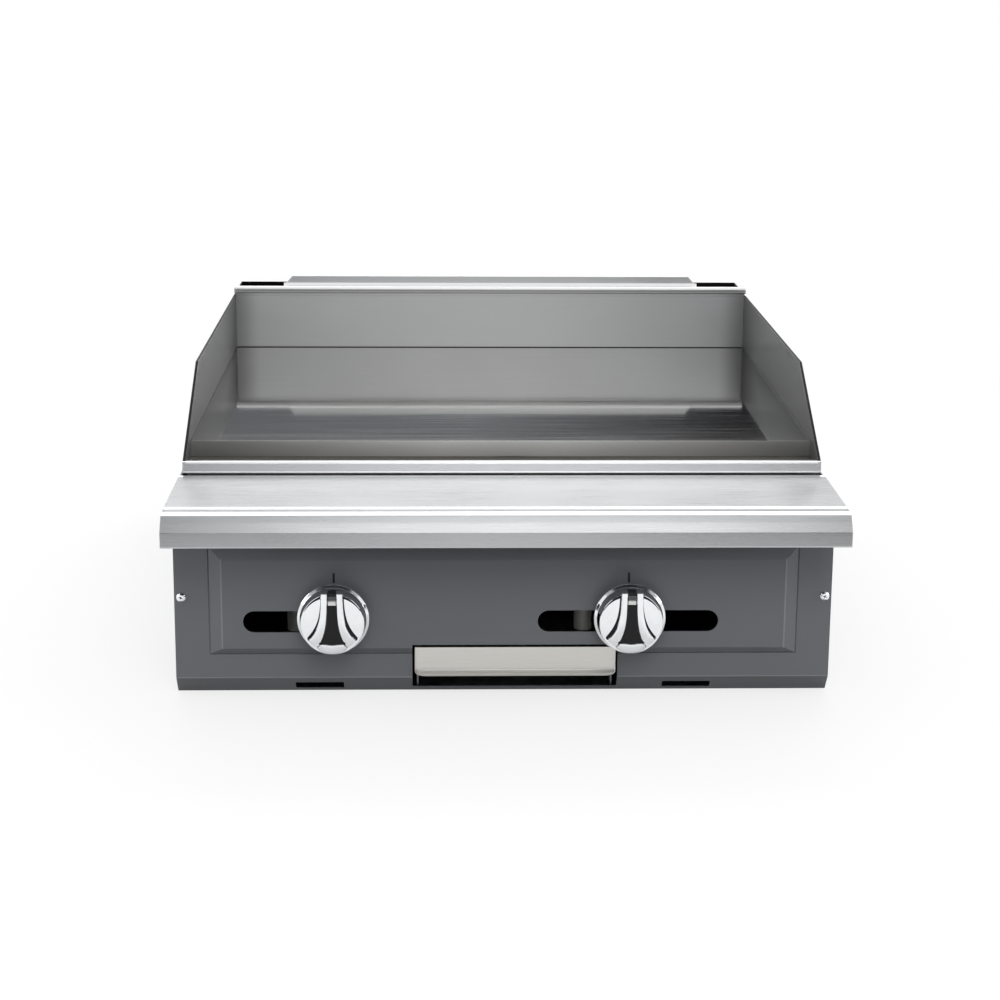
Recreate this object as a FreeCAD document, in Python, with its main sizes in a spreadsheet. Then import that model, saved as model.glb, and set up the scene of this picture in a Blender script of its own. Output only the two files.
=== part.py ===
import FreeCAD, Part
import math
import os
import Sketcher
from collections import namedtuple
from FreeCAD import Placement, Rotation, Vector

# A two-burner countertop gas griddle, in millimetres. +Z is up, -Y is the front, and the
# origin is on the surface it stands on, under the middle of its bounding box. Y sizes below
# are taken from the control panel's front face, towards the back.

os.makedirs("parts", exist_ok=True)
doc = FreeCAD.newDocument("gas_griddle")
cells = doc.addObject("Spreadsheet::Sheet", "sizes")
size_names = []
nodes = []


class Size:
    """A length with its present value and the expression that gives it from the sheet."""

    def __init__(self, value, text):
        self.value = float(value)
        self.text = text

    def joined(self, sign, other, value):
        return Size(value, f"({self.text} {sign} {other.text})")

    def __add__(self, other):
        other = as_size(other)
        return self.joined("+", other, self.value + other.value)

    def __radd__(self, other):
        return as_size(other) + self

    def __sub__(self, other):
        other = as_size(other)
        return self.joined("-", other, self.value - other.value)

    def __rsub__(self, other):
        return as_size(other) - self

    def __mul__(self, other):
        other = as_size(other)
        return self.joined("*", other, self.value * other.value)

    def __rmul__(self, other):
        return as_size(other) * self

    def __truediv__(self, other):
        other = as_size(other)
        return self.joined("/", other, self.value / other.value)

    def __neg__(self):
        return as_size(0) - self


def as_size(value):
    return value if isinstance(value, Size) else Size(value, repr(float(value)))


def size(name, value):
    """Put one driving dimension in the sheet and return it."""
    size_names.append(name)
    row = len(size_names)
    cells.set(f"A{row}", name)
    cells.set(f"B{row}", str(value))
    cells.setAlias(f"B{row}", name)
    return Size(value, f"sizes.{name}")


def bind(thing, prop, length):
    thing.setExpression(prop, as_size(length).text)


# Sheets and the overall body
body_width = size("body_width", 610)
body_depth = size("body_depth", 646)
sheet = size("sheet", 1.5)
flange = size("flange", 25)
nose_reach = size("nose_reach", 80)
inlet_reach = size("inlet_reach", 30)
ledge_top = size("ledge_top", 196.5)
play = size("play", 0.05)
slip = size("slip", 0.3)

half = body_width / 2
inside = half - sheet
deck = ledge_top - sheet
rear_inside = body_depth - sheet
front_y = (nose_reach - body_depth - inlet_reach) / 2

# Control panel and what shows on it
lip_height = size("lip_height", 17)
lip_setback = size("lip_setback", 12)
field_rise = size("field_rise", 5)
field_margin = size("field_margin", 32)
field_low = size("field_low", 40.5)
field_high = size("field_high", 145)
bevel_side = size("bevel_side", 12)
bevel_low = size("bevel_low", 7)
bevel_high = size("bevel_high", 12.5)
knob_left_x = size("knob_left_x", -157.5)
knob_right_x = size("knob_right_x", 115)
knob_z = size("knob_z", 81.5)
stem_hole_r = size("stem_hole_r", 6)
slot_z = size("slot_z", 73.5)
slot_r = size("slot_r", 10.4)
slot_reach = size("slot_reach", 84)
slot_left_tail = size("slot_left_tail", 20)
vent_x = size("vent_x", 172)
vent_length = size("vent_length", 45)
vent_low = size("vent_low", 3.2)
vent_high = size("vent_high", 10.5)
screw_inset = size("screw_inset", 6.5)
screw_z = size("screw_z", 96)
screw_r = size("screw_r", 2.4)
screw_head_r = size("screw_head_r", 4.6)
screw_head_rise = size("screw_head_rise", 2.8)
screw_reach = size("screw_reach", 8)

field_edge_x = half - field_margin

# Drip tray
tray_x = size("tray_x", 10.5)
tray_face_half = size("tray_face_half", 93.8)
tray_face_high = size("tray_face_high", 48.5)
tray_face_y = size("tray_face_y", -6)
tray_face_over = size("tray_face_over", 3.8)
tray_sink = size("tray_sink", 1.8)
tray_low = size("tray_low", 21)
tray_wall = size("tray_wall", 1.2)
tray_rear = size("tray_rear", 400)
tray_lip_bend = size("tray_lip_bend", 6.5)
tray_lip_out = size("tray_lip_out", 5)
tray_gap = size("tray_gap", 2)
opening_low = size("opening_low", 4.6)
rail_shelf = size("rail_shelf", 10)
rail_sink = size("rail_sink", 4)
rail_over = size("rail_over", 30)

tray_half = tray_face_half - tray_face_over
tray_high = tray_face_high - tray_sink

# Ledge with its folded nose
ledge_rear = size("ledge_rear", 55)
bead_y = size("bead_y", -49)
bead_drop = size("bead_drop", 1.5)
nose_slope = size("nose_slope", 9.6)
ridge_drop = size("ridge_drop", 14.7)
nose_drop = size("nose_drop", 29)
nose_return = size("nose_return", 18)
rear_lip_wide = size("rear_lip_wide", 2)
rear_lip_rise = size("rear_lip_rise", 1.2)
bracket_x = size("bracket_x", 200)
bracket_drop = size("bracket_drop", 33)
bracket_tip = size("bracket_tip", 14)
bracket_thick = size("bracket_thick", 2)

nose_top_y = nose_slope - nose_reach
nose_ridge_z = ledge_top - ridge_drop
nose_low_z = ledge_top - nose_drop

# Plate, splashes, trough and flue
top_inset = size("top_inset", 3)
splash_thick = size("splash_thick", 3)
hem_gap_y = size("hem_gap_y", 4.5)
hem_gap_z = size("hem_gap_z", 1.5)
hem_depth = size("hem_depth", 10.8)
hem_drop = size("hem_drop", 9)
trough_wide = size("trough_wide", 32.7)
trough_depth = size("trough_depth", 22)
trough_under = size("trough_under", 2)
flue_depth = size("flue_depth", 92.5)
plate_step = size("plate_step", 22)
plate_thick = size("plate_thick", 16)
plate_edge = size("plate_edge", 2)
splash_rise = size("splash_rise", 62)
splash_run = size("splash_run", 118)
splash_low_gap = size("splash_low_gap", 2)
chute_r = size("chute_r", 17)
chute_gap = size("chute_gap", 8)
back_hem_step = size("back_hem_step", 3)
back_hem_tall = size("back_hem_tall", 8)
back_hem_out = size("back_hem_out", 4)
flue_outlet = size("flue_outlet", 58.5)
deflector_taper = size("deflector_taper", 10)
deflector_depth = size("deflector_depth", 8)
deflector_sink = size("deflector_sink", 0.5)
deflector_rise = size("deflector_rise", 11)
riser_overlap = size("riser_overlap", 24)
support_wide = size("support_wide", 22)
support_gap = size("support_gap", 2)

top_half = half - top_inset
plate_half = top_half - splash_thick
hem_front = ledge_rear + hem_gap_y
hem_rear = hem_front + hem_depth
plate_front = hem_rear + trough_wide
plate_rear = rear_inside - flue_depth
plate_top = ledge_top + plate_step
plate_low = plate_top - plate_thick
hem_top = plate_top - hem_drop
hem_low = ledge_top + hem_gap_z
trough_rear = plate_front + trough_under + sheet
trough_floor = plate_low - trough_depth
splash_top = plate_top + splash_rise
splash_shoulder = hem_front + sheet + splash_run
chute_y = (hem_rear + trough_rear - sheet) / 2
chute_low = tray_high + chute_gap
back_hem_low = splash_top + back_hem_step
back_hem_top = back_hem_low + back_hem_tall
deflector_half = top_half - flue_outlet
deflector_level = back_hem_top - deflector_sink

# Gas train
burner_r = size("burner_r", 16)
burner_wall = size("burner_wall", 2)
burner_back = size("burner_back", 82)
burner_spacing = size("burner_spacing", 110)
burner_end = size("burner_end", 140)
port_r = size("port_r", 1.6)
port_start = size("port_start", 40)
port_margin = size("port_margin", 20)
port_count = 19
shutter_wall = size("shutter_wall", 2.4)
shutter_length = size("shutter_length", 18)
shutter_gap = size("shutter_gap", 1.5)
shutter_eye_r = size("shutter_eye_r", 7)
shutter_window_r = size("shutter_window_r", 3.6)
web_start = size("web_start", 25)
web_back = size("web_back", 30)
web_over = size("web_over", 12)
web_foot = size("web_foot", 15)
shield_gap = size("shield_gap", 8.5)
shield_front = size("shield_front", 120)
shield_back = size("shield_back", 44.5)
pipe_r = size("pipe_r", 10.65)
pipe_bore_r = size("pipe_bore_r", 7.9)
manifold_y = size("manifold_y", 45)
manifold_up = size("manifold_up", 46)
manifold_over = size("manifold_over", 37.5)
supply_inset = size("supply_inset", 43)
elbow_bend = size("elbow_bend", 16)
elbow_wall = size("elbow_wall", 3.35)
plug_length = size("plug_length", 14)
coupling_wall = size("coupling_wall", 4.65)
coupling_clear = size("coupling_clear", 19.5)
coupling_length = size("coupling_length", 35)
nipple_r = size("nipple_r", 13.35)
nipple_wall = size("nipple_wall", 2.95)
collar_wall = size("collar_wall", 2.15)
collar_proud = size("collar_proud", 2)
inlet_hole_gap = size("inlet_hole_gap", 1.2)
valve_half = size("valve_half", 12)
valve_ahead = size("valve_ahead", 11)
valve_behind = size("valve_behind", 17)
valve_neck_r = size("valve_neck_r", 9)
valve_nose_length = size("valve_nose_length", 14)
stem_r = size("stem_r", 4)
stem_depth = size("stem_depth", 12)
stem_flat = size("stem_flat", 1)
stem_flat_length = size("stem_flat_length", 14)
orifice_hex_r = size("orifice_hex_r", 8)
orifice_hex_length = size("orifice_hex_length", 12)
orifice_tip_r = size("orifice_tip_r", 5)
orifice_tip_length = size("orifice_tip_length", 14)
orifice_bore_r = size("orifice_bore_r", 1)
orifice_entry = size("orifice_entry", 3)
pilot_aside = size("pilot_aside", 38.5)
pilot_valve_r = size("pilot_valve_r", 8.5)
pilot_valve_drop = size("pilot_valve_drop", 22)
pilot_outlet_drop = size("pilot_outlet_drop", 10)
pilot_outlet_r = size("pilot_outlet_r", 4.5)
pilot_outlet_reach = size("pilot_outlet_reach", 12)
pilot_tube_r = size("pilot_tube_r", 3)
pilot_tube_wall = size("pilot_tube_wall", 1)
pilot_bend = size("pilot_bend", 10)
pilot_rise = size("pilot_rise", 4)
pilot_head_r = size("pilot_head_r", 6)
pilot_head_length = size("pilot_head_length", 18)
pilot_hood_over = size("pilot_hood_over", 2)
pilot_hood_thick = size("pilot_hood_thick", 2)

supply_x = half - supply_inset
manifold_z = knob_z + manifold_up
manifold_left = knob_left_x - pilot_aside - manifold_over
elbow_r = pipe_r + elbow_wall
coupling_r = nipple_r + coupling_wall
coupling_front = rear_inside - coupling_clear - coupling_length
collar_r = nipple_r + collar_wall
nipple_bore_r = nipple_r - nipple_wall
valve_front = manifold_y - valve_ahead
valve_rear = manifold_y + valve_behind
orifice_end = valve_rear + orifice_hex_length + orifice_tip_length
burner_mouth = orifice_end - orifice_entry
burner_bend_y = plate_rear - burner_back
port_first = burner_end + port_start
port_last = burner_bend_y - port_margin
web_front = burner_end + web_start
web_rear = burner_bend_y - web_back
web_top = knob_z + burner_r + web_over
shield_top = tray_high + shield_gap
shield_rear = rear_inside - shield_back
pilot_outlet_z = -pilot_outlet_drop

# Knobs
knob_r = size("knob_r", 33)
knob_gap = size("knob_gap", 14)
skirt_rise = size("skirt_rise", 4)
skirt_cone = size("skirt_cone", 11.5)
skirt_slope = size("skirt_slope", 4)
grip_inset = size("grip_inset", 5)
grip_rise = size("grip_rise", 24)
grip_edge = size("grip_edge", 2)
grip_top_half = size("grip_top_half", 9)
grip_low_half = size("grip_low_half", 20)
channel_top_half = size("channel_top_half", 4.8)
channel_low_half = size("channel_low_half", 11)
channel_depth = size("channel_depth", 4)
insert_gap = size("insert_gap", 0.2)
insert_sink = size("insert_sink", 0.8)
stem_end = size("stem_end", 6)

skirt_top_r = knob_r - skirt_slope
grip_r = knob_r - grip_inset

# Legs' bolts and rear fixings
leg_inset_x = size("leg_inset_x", 50)
leg_front = size("leg_front", 60)
leg_back = size("leg_back", 61)
leg_bolt_r = size("leg_bolt_r", 5)
leg_nut_wall = size("leg_nut_wall", 5)
leg_nut_length = size("leg_nut_length", 12)
louvre_wide = size("louvre_wide", 60)
louvre_tall = size("louvre_tall", 6)
louvre_z = size("louvre_z", 60)
louvre_pitch = size("louvre_pitch", 80)
louvre_count = 5
rear_screw_inset = size("rear_screw_inset", 45)
side_screw_z = size("side_screw_z", 28)

leg_x = half - leg_inset_x
leg_rear = body_depth - leg_back
rear_screw_x = half - rear_screw_inset

Disc = namedtuple("Disc", "x y radius")


def rect(x_low, x_high, y_low, y_high):
    return [(x_low, y_low), (x_high, y_low), (x_high, y_high), (x_low, y_high)]


def vector(point):
    return Vector(as_size(point[0]).value, as_size(point[1]).value, 0)


def fix(sketch, kind, geometry, end, length):
    """Hold one coordinate of a sketch point at a length from the sketch's origin."""
    length = as_size(length)
    index = sketch.addConstraint(Sketcher.Constraint(kind, -1, 1, geometry, end, length.value))
    sketch.setExpression(f"Constraints[{index}]", length.text)


def fix_point(sketch, geometry, end, point):
    fix(sketch, "DistanceX", geometry, end, point[0])
    fix(sketch, "DistanceY", geometry, end, point[1])


def draw(sketch, loop):
    """Draw a closed loop, a disc or a list of corner points, held by its sizes."""
    if isinstance(loop, Disc):
        radius = as_size(loop.radius)
        circle = Part.Circle(vector((loop.x, loop.y)), Vector(0, 0, 1), radius.value)
        geometry = sketch.addGeometry(circle, False)
        index = sketch.addConstraint(Sketcher.Constraint("Radius", geometry, radius.value))
        sketch.setExpression(f"Constraints[{index}]", radius.text)
        fix_point(sketch, geometry, 3, (loop.x, loop.y))
        return
    ends = loop[1:] + loop[:1]
    lines = [Part.LineSegment(vector(a), vector(b)) for a, b in zip(loop, ends)]
    edges = [sketch.addGeometry(line, False) for line in lines]
    for edge, following, point in zip(edges, edges[1:] + edges[:1], loop):
        sketch.addConstraint(Sketcher.Constraint("Coincident", edge, 2, following, 1))
        fix_point(sketch, edge, 1, point)


def new_sketch(body, plane, offset):
    sketch = body.newObject("Sketcher::SketchObject", "outline")
    roles = {feature.Role: feature for feature in body.Origin.OriginFeatures}
    sketch.AttachmentSupport = [(roles[plane], "")]
    sketch.MapMode = "FlatFace"
    bind(sketch, "AttachmentOffset.Base.z", offset)
    return sketch


def prism(body, plane, low, high, loops, cut=False):
    """Pad, or cut, the loops on a plane from one level to another along its axis."""
    towards_y = plane == "XZ_Plane"
    level = high if towards_y != cut else low
    offset = -level if towards_y else level
    sketch = new_sketch(body, plane, offset)
    for loop in loops:
        draw(sketch, loop)
    feature = body.newObject("PartDesign::Pocket" if cut else "PartDesign::Pad", "prism")
    feature.Profile = sketch
    bind(feature, "Length", high - low)
    return feature


def new_body(name, x=0, z=0):
    """Start a sub-part whose own Y is counted from the control panel's face."""
    body = doc.addObject("PartDesign::Body", name)
    return settle(body, name, x, z)


def settle(thing, name, x=0, z=0):
    """Name a sub-part, place it and list it for writing."""
    thing.Label = name
    bind(thing, "Placement.Base.x", x)
    bind(thing, "Placement.Base.y", front_y)
    bind(thing, "Placement.Base.z", z)
    nodes.append(thing)
    return thing


def slot_through(body, x_low, x_high, z, radius, low, high):
    """Cut a round-ended slot through a sheet that faces Y."""
    straight = rect(x_low + radius, x_high - radius, z - radius, z + radius)
    prism(body, "XZ_Plane", low, high, [straight], cut=True)
    prism(body, "XZ_Plane", low, high, [Disc(x_low + radius, z, radius)], cut=True)
    prism(body, "XZ_Plane", low, high, [Disc(x_high - radius, z, radius)], cut=True)


TURNS = {
    "X": Rotation(Vector(0, 1, 0), 90),
    "Y": Rotation(Vector(1, 0, 0), -90),
    "Z": Rotation(),
}


def rod(axis, start, length, radius):
    """A cylinder from a start point along an axis."""
    piece = doc.addObject("Part::Cylinder", "rod")
    piece.Placement = Placement(Vector(), TURNS[axis])
    for letter, value in zip("xyz", start):
        bind(piece, f"Placement.Base.{letter}", value)
    bind(piece, "Radius", radius)
    bind(piece, "Height", length)
    return piece


def block(x_low, x_high, y_low, y_high, z_low, z_high):
    piece = doc.addObject("Part::Box", "block")
    spans = (("x", "Length", x_low, x_high), ("y", "Width", y_low, y_high), ("z", "Height", z_low, z_high))
    for letter, side, low, high in spans:
        bind(piece, f"Placement.Base.{letter}", low)
        bind(piece, side, as_size(high) - low)
    return piece


def fused(pieces):
    joined = doc.addObject("Part::MultiFuse", "joined")
    joined.Shapes = pieces
    return joined


def less(base, tool):
    result = doc.addObject("Part::Cut", "cut")
    result.Base = base
    result.Tool = tool
    return result


def pipe(axis, start, length, radius, bore):
    return less(rod(axis, start, length, radius), rod(axis, start, length, bore))


def group(pieces):
    """Several loose solids kept as one sub-part."""
    bundle = doc.addObject("Part::Compound", "group")
    bundle.Links = pieces
    return bundle


def bent_tube(body, plane, offset, points, centre, clockwise, profile_plane, profile_at, radius, bore):
    """Sweep a tube along a straight run, one bend and a second straight run."""
    path = new_sketch(body, plane, offset)
    start, bend_in, bend_out, end = points
    first = path.addGeometry(Part.LineSegment(vector(start), vector(bend_in)), False)
    middle = vector(centre)
    spokes = [vector(bend_in) - middle, vector(bend_out) - middle]
    angles = [math.atan2(spoke.y, spoke.x) for spoke in spokes]
    if clockwise:
        angles.reverse()
    round_part = Part.ArcOfCircle(Part.Circle(middle, Vector(0, 0, 1), spokes[0].Length), *angles)
    bend = path.addGeometry(round_part, False)
    last = path.addGeometry(Part.LineSegment(vector(bend_out), vector(end)), False)
    bend_start, bend_finish = (2, 1) if clockwise else (1, 2)
    path.addConstraint(Sketcher.Constraint("Coincident", first, 2, bend, bend_start))
    path.addConstraint(Sketcher.Constraint("Coincident", bend, bend_finish, last, 1))
    fix_point(path, first, 1, start)
    fix_point(path, first, 2, bend_in)
    fix_point(path, last, 1, bend_out)
    fix_point(path, last, 2, end)
    fix(path, "DistanceY" if clockwise else "DistanceX", bend, 3, centre[1] if clockwise else centre[0])
    x, y, level = profile_at
    section = new_sketch(body, profile_plane, level)
    draw(section, Disc(x, y, radius))
    draw(section, Disc(x, y, bore))
    tube = body.newObject("PartDesign::AdditivePipe", "tube")
    tube.Profile = section
    tube.Spine = (path, ["Edge1", "Edge2", "Edge3"])


SIDES = {"left": -1, "right": 1}
KNOBS = {"left": knob_left_x, "right": knob_right_x}
panel_screw_x = half - screw_inset


def span(sign, near, far):
    """Low and high X of a piece that lies between two distances from the middle."""
    return (near, far) if sign > 0 else (-far, -near)


def wedge(body, kind, shift):
    """The pressed field's frustum, moved back by a shift."""
    piece = body.newObject(kind, "field")
    bind(piece, "Ymin", shift - field_rise)
    bind(piece, "Ymax", shift)
    bind(piece, "Xmin", bevel_side - field_edge_x)
    bind(piece, "Xmax", field_edge_x - bevel_side)
    bind(piece, "Zmin", field_low + bevel_low)
    bind(piece, "Zmax", field_high - bevel_high)
    bind(piece, "X2min", -field_edge_x)
    bind(piece, "X2max", field_edge_x)
    bind(piece, "Z2min", field_low)
    bind(piece, "Z2max", field_high)


# Control panel: one folded sheet with a raised pressed field and a folded-back lower lip
panel = new_body("control_panel")
panel_outline = [
    (0, deck),
    (0, lip_height),
    (lip_setback, 0),
    (lip_setback + sheet, 0),
    (sheet, lip_height),
    (sheet, deck),
]
prism(panel, "YZ_Plane", -half, half, [panel_outline])
wedge(panel, "PartDesign::AdditiveWedge", as_size(0))
wedge(panel, "PartDesign::SubtractiveWedge", sheet)
through_low = -field_rise - sheet
through_high = sheet + sheet
slot_through(panel, knob_left_x - slot_reach, knob_left_x + slot_left_tail, slot_z, slot_r,
             through_low, through_high)
slot_through(panel, knob_right_x - slot_reach, knob_right_x + slot_reach, slot_z, slot_r,
             through_low, through_high)
for knob_x in KNOBS.values():
    prism(panel, "XZ_Plane", through_low, through_high, [Disc(knob_x, knob_z, stem_hole_r)], cut=True)
opening_half = tray_face_half + tray_gap
opening = rect(tray_x - opening_half, tray_x + opening_half, opening_low, tray_face_high + tray_gap)
prism(panel, "XZ_Plane", through_low, lip_setback + sheet, [opening], cut=True)
for sign in SIDES.values():
    vent = rect(sign * vent_x - vent_length / 2, sign * vent_x + vent_length / 2, vent_low, vent_high)
    prism(panel, "XZ_Plane", as_size(0), lip_setback + sheet, [vent], cut=True)
    hole = Disc(sign * panel_screw_x, screw_z, screw_r + play)
    prism(panel, "XZ_Plane", as_size(0), sheet, [hole], cut=True)

# Side panels: a flat web, a front flange behind the control panel and a flange under the plate
side_screw_ys = (web_front, web_rear)
for side, sign in SIDES.items():
    wall = new_body(f"{side}_side_panel")
    web = [
        (sheet, lip_height),
        (lip_setback + sheet, 0),
        (rear_inside, 0),
        (rear_inside, deck),
        (sheet, deck),
    ]
    prism(wall, "YZ_Plane", *span(sign, inside, half), [web])
    low_x, high_x = span(sign, half - flange, inside)
    prism(wall, "XZ_Plane", sheet, sheet + sheet, [rect(low_x, high_x, lip_height, deck)])
    shelf = rect(low_x, high_x, trough_rear + slip, plate_rear)
    prism(wall, "XY_Plane", deck - sheet, deck, [shelf])
    hole = Disc(sign * panel_screw_x, screw_z, screw_r + play)
    prism(wall, "XZ_Plane", sheet, sheet + sheet, [hole], cut=True)
    side_holes = [Disc(y, side_screw_z, screw_r + play) for y in side_screw_ys]
    prism(wall, "YZ_Plane", *span(sign, inside, half), side_holes, cut=True)

# Base pan: flat sheet between the side panels, with holes for the legs' bolts
base = new_body("base_pan")
leg_places = [(sign * leg_x, y) for sign in SIDES.values() for y in (leg_front, leg_rear)]
base_outline = rect(-inside, inside, lip_setback + sheet, rear_inside)
prism(base, "XY_Plane", as_size(0), sheet, [base_outline])
prism(base, "XY_Plane", as_size(0), sheet, [Disc(x, y, leg_bolt_r) for x, y in leg_places], cut=True)

# Weld nuts for the legs, on top of the base pan
leg_nut_r = leg_bolt_r + leg_nut_wall
nuts = [pipe("Z", (x, y, sheet), leg_nut_length, leg_nut_r, leg_bolt_r) for x, y in leg_places]
settle(group(nuts), "leg_nuts")

# Rear panel: flat sheet with louvre slots and the hole for the gas inlet
rear = new_body("rear_panel")
prism(rear, "XZ_Plane", rear_inside, body_depth, [rect(-half, half, 0, deck)])
inlet_hole = Disc(supply_x, manifold_z, collar_r + inlet_hole_gap)
prism(rear, "XZ_Plane", rear_inside, body_depth, [inlet_hole], cut=True)
louvres = []
for index in range(louvre_count):
    middle = louvre_pitch * (index - (louvre_count - 1) / 2)
    louvres.append(rect(middle - louvre_wide / 2, middle + louvre_wide / 2, louvre_z, louvre_z + louvre_tall))
prism(rear, "XZ_Plane", rear_inside, body_depth, louvres, cut=True)
rear_screw_z = deck - riser_overlap / 2
rear_holes = [Disc(sign * rear_screw_x, rear_screw_z, screw_r + play) for sign in SIDES.values()]
prism(rear, "XZ_Plane", rear_inside, body_depth, rear_holes, cut=True)

# Flue riser: the back and sides of the flue, screwed inside the rear panel
riser = new_body("flue_riser")
riser_wall = rect(-top_half, top_half, deck - riser_overlap, splash_top)
prism(riser, "XZ_Plane", rear_inside - sheet, rear_inside, [riser_wall])
for sign in SIDES.values():
    cheek = rect(plate_rear, rear_inside, deck, splash_top)
    prism(riser, "YZ_Plane", *span(sign, top_half - sheet, top_half), [cheek])
prism(riser, "XZ_Plane", rear_inside - sheet, rear_inside, rear_holes, cut=True)

# Heat shield: an inverted channel over the tray, screwed between the side panels
shield = new_body("heat_shield")
shield_outline = [
    (-inside, sheet),
    (sheet - inside, sheet),
    (sheet - inside, shield_top - sheet),
    (inside - sheet, shield_top - sheet),
    (inside - sheet, sheet),
    (inside, sheet),
    (inside, shield_top),
    (-inside, shield_top),
]
prism(shield, "XZ_Plane", shield_front, shield_rear, [shield_outline])
for sign in SIDES.values():
    side_holes = [Disc(y, side_screw_z, screw_r + play) for y in side_screw_ys]
    prism(shield, "YZ_Plane", *span(sign, inside - sheet, inside), side_holes, cut=True)

# Plate supports: bars on the side panels' flanges that carry the plate
for side, sign in SIDES.items():
    bar = new_body(f"plate_support_{side}")
    low_x, high_x = span(sign, plate_half - support_gap - support_wide, plate_half - support_gap)
    prism(bar, "XY_Plane", deck, plate_low, [rect(low_x, high_x, trough_rear + slip, plate_rear)])

# Griddle plate: thick steel with its front top edge eased
plate = new_body("griddle_plate")
plate_outline = [
    (plate_front, plate_low),
    (plate_rear, plate_low),
    (plate_rear, plate_top),
    (plate_front + plate_edge, plate_top),
    (plate_front, plate_top - plate_edge),
]
prism(plate, "YZ_Plane", -plate_half, plate_half, [plate_outline])

# Side splashes: plates welded to the plate's side edges, sloping down to the trough hem
for side, sign in SIDES.items():
    splash = new_body(f"{side}_splash")
    splash_outline = [
        (hem_front + sheet, deck + splash_low_gap),
        (plate_rear, deck + splash_low_gap),
        (plate_rear, splash_top),
        (splash_shoulder, splash_top),
        (hem_front + sheet, hem_top),
    ]
    prism(splash, "YZ_Plane", *span(sign, plate_half, top_half), [splash_outline])

# Back splash: a plate on the griddle's rear edge with a folded hem along its top
back = new_body("back_splash")
back_outline = rect(plate_rear - splash_thick, plate_rear, plate_top, back_hem_low)
prism(back, "YZ_Plane", -plate_half, plate_half, [back_outline])
back_hem = rect(plate_rear - splash_thick - back_hem_out, plate_rear, back_hem_low, back_hem_top)
prism(back, "YZ_Plane", -top_half, top_half, [back_hem])

# Grease trough: a folded channel along the plate's front edge, with a drain hole
trough = new_body("grease_trough")
channel = [
    (hem_front + sheet, hem_top),
    (hem_front + sheet, hem_top - sheet),
    (hem_rear - sheet, hem_top - sheet),
    (hem_rear - sheet, trough_floor),
    (trough_rear, trough_floor),
    (trough_rear, plate_low),
    (trough_rear - sheet, plate_low),
    (trough_rear - sheet, trough_floor + sheet),
    (hem_rear, trough_floor + sheet),
    (hem_rear, hem_top),
]
prism(trough, "YZ_Plane", -plate_half, plate_half, [channel])
band = rect(hem_front, hem_front + sheet, hem_low, hem_top)
prism(trough, "YZ_Plane", -top_half, top_half, [band])
for sign in SIDES.values():
    end_wall = rect(hem_rear - sheet, trough_rear, trough_floor, plate_low)
    prism(trough, "YZ_Plane", *span(sign, plate_half - sheet, plate_half), [end_wall])
drain = Disc(tray_x, chute_y, chute_r - sheet)
prism(trough, "XY_Plane", trough_floor, trough_floor + sheet, [drain], cut=True)

# Drain chute: the tube under the trough's drain, ending above the tray
chute = pipe("Z", (tray_x, chute_y, chute_low), trough_floor - chute_low, chute_r, chute_r - sheet)
settle(chute, "drain_chute")

# Flue deflector: a shelf behind the back splash with an upright of tapered ends
deflector = new_body("flue_deflector")
deflector_rear = plate_rear + deflector_depth
shelf = rect(-deflector_half, deflector_half, plate_rear, deflector_rear)
prism(deflector, "XY_Plane", deflector_level - sheet, deflector_level, [shelf])
upright = [
    (-deflector_half, deflector_level),
    (deflector_half, deflector_level),
    (deflector_half - deflector_taper, deflector_level + deflector_rise),
    (deflector_taper - deflector_half, deflector_level + deflector_rise),
]
prism(deflector, "XZ_Plane", deflector_rear - sheet, deflector_rear, [upright])

# Front ledge: one sheet folded over a beaded line into a nose, with closed nose ends
ledge = new_body("front_ledge")
low_top = ledge_top - bead_drop
ledge_outline = [
    (ledge_rear, ledge_top + rear_lip_rise),
    (ledge_rear - rear_lip_wide, ledge_top + rear_lip_rise),
    (ledge_rear - rear_lip_wide, ledge_top),
    (bead_y, ledge_top),
    (bead_y - bead_drop, low_top),
    (nose_top_y, low_top),
    (-nose_reach, nose_ridge_z),
    (-nose_reach, nose_low_z),
    (nose_return - nose_reach, nose_low_z),
    (nose_return - nose_reach, nose_low_z + sheet),
    (sheet - nose_reach, nose_low_z + sheet),
    (sheet - nose_reach, nose_ridge_z - sheet / 3),
    (nose_top_y + sheet / 2, low_top - sheet),
    (bead_y - bead_drop + sheet / 2, low_top - sheet),
    (bead_y + sheet / 2, deck),
    (ledge_rear, deck),
]
prism(ledge, "YZ_Plane", -half, half, [ledge_outline])
nose_end = [
    (-nose_reach, nose_low_z),
    (-nose_reach, nose_ridge_z),
    (nose_top_y, low_top),
    (bead_y - bead_drop, low_top),
    (nose_return - nose_reach, nose_low_z),
]
for sign in SIDES.values():
    prism(ledge, "YZ_Plane", *span(sign, inside, half), [nose_end])

# Ledge brackets: gussets from the control panel to the underside of the ledge
for side, sign in SIDES.items():
    bracket = new_body(f"ledge_bracket_{side}")
    bracket_top = low_top - sheet
    gusset = [(bracket_tip - nose_reach, bracket_top), (as_size(0), bracket_top),
              (as_size(0), bracket_top - bracket_drop)]
    prism(bracket, "YZ_Plane", *span(sign, bracket_x, bracket_x + bracket_thick), [gusset])

# Drip tray: an open folded box
tray = new_body("drip_tray")
tray_front_y = tray_face_y + sheet
tray_outline = rect(tray_x - tray_half, tray_x + tray_half, tray_front_y, tray_rear)
prism(tray, "XY_Plane", tray_low, tray_high, [tray_outline])
tray_hollow = rect(tray_x - tray_half + tray_wall, tray_x + tray_half - tray_wall,
                   tray_front_y + tray_wall, tray_rear - tray_wall)
prism(tray, "XY_Plane", tray_low + tray_wall, tray_high, [tray_hollow], cut=True)

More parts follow.
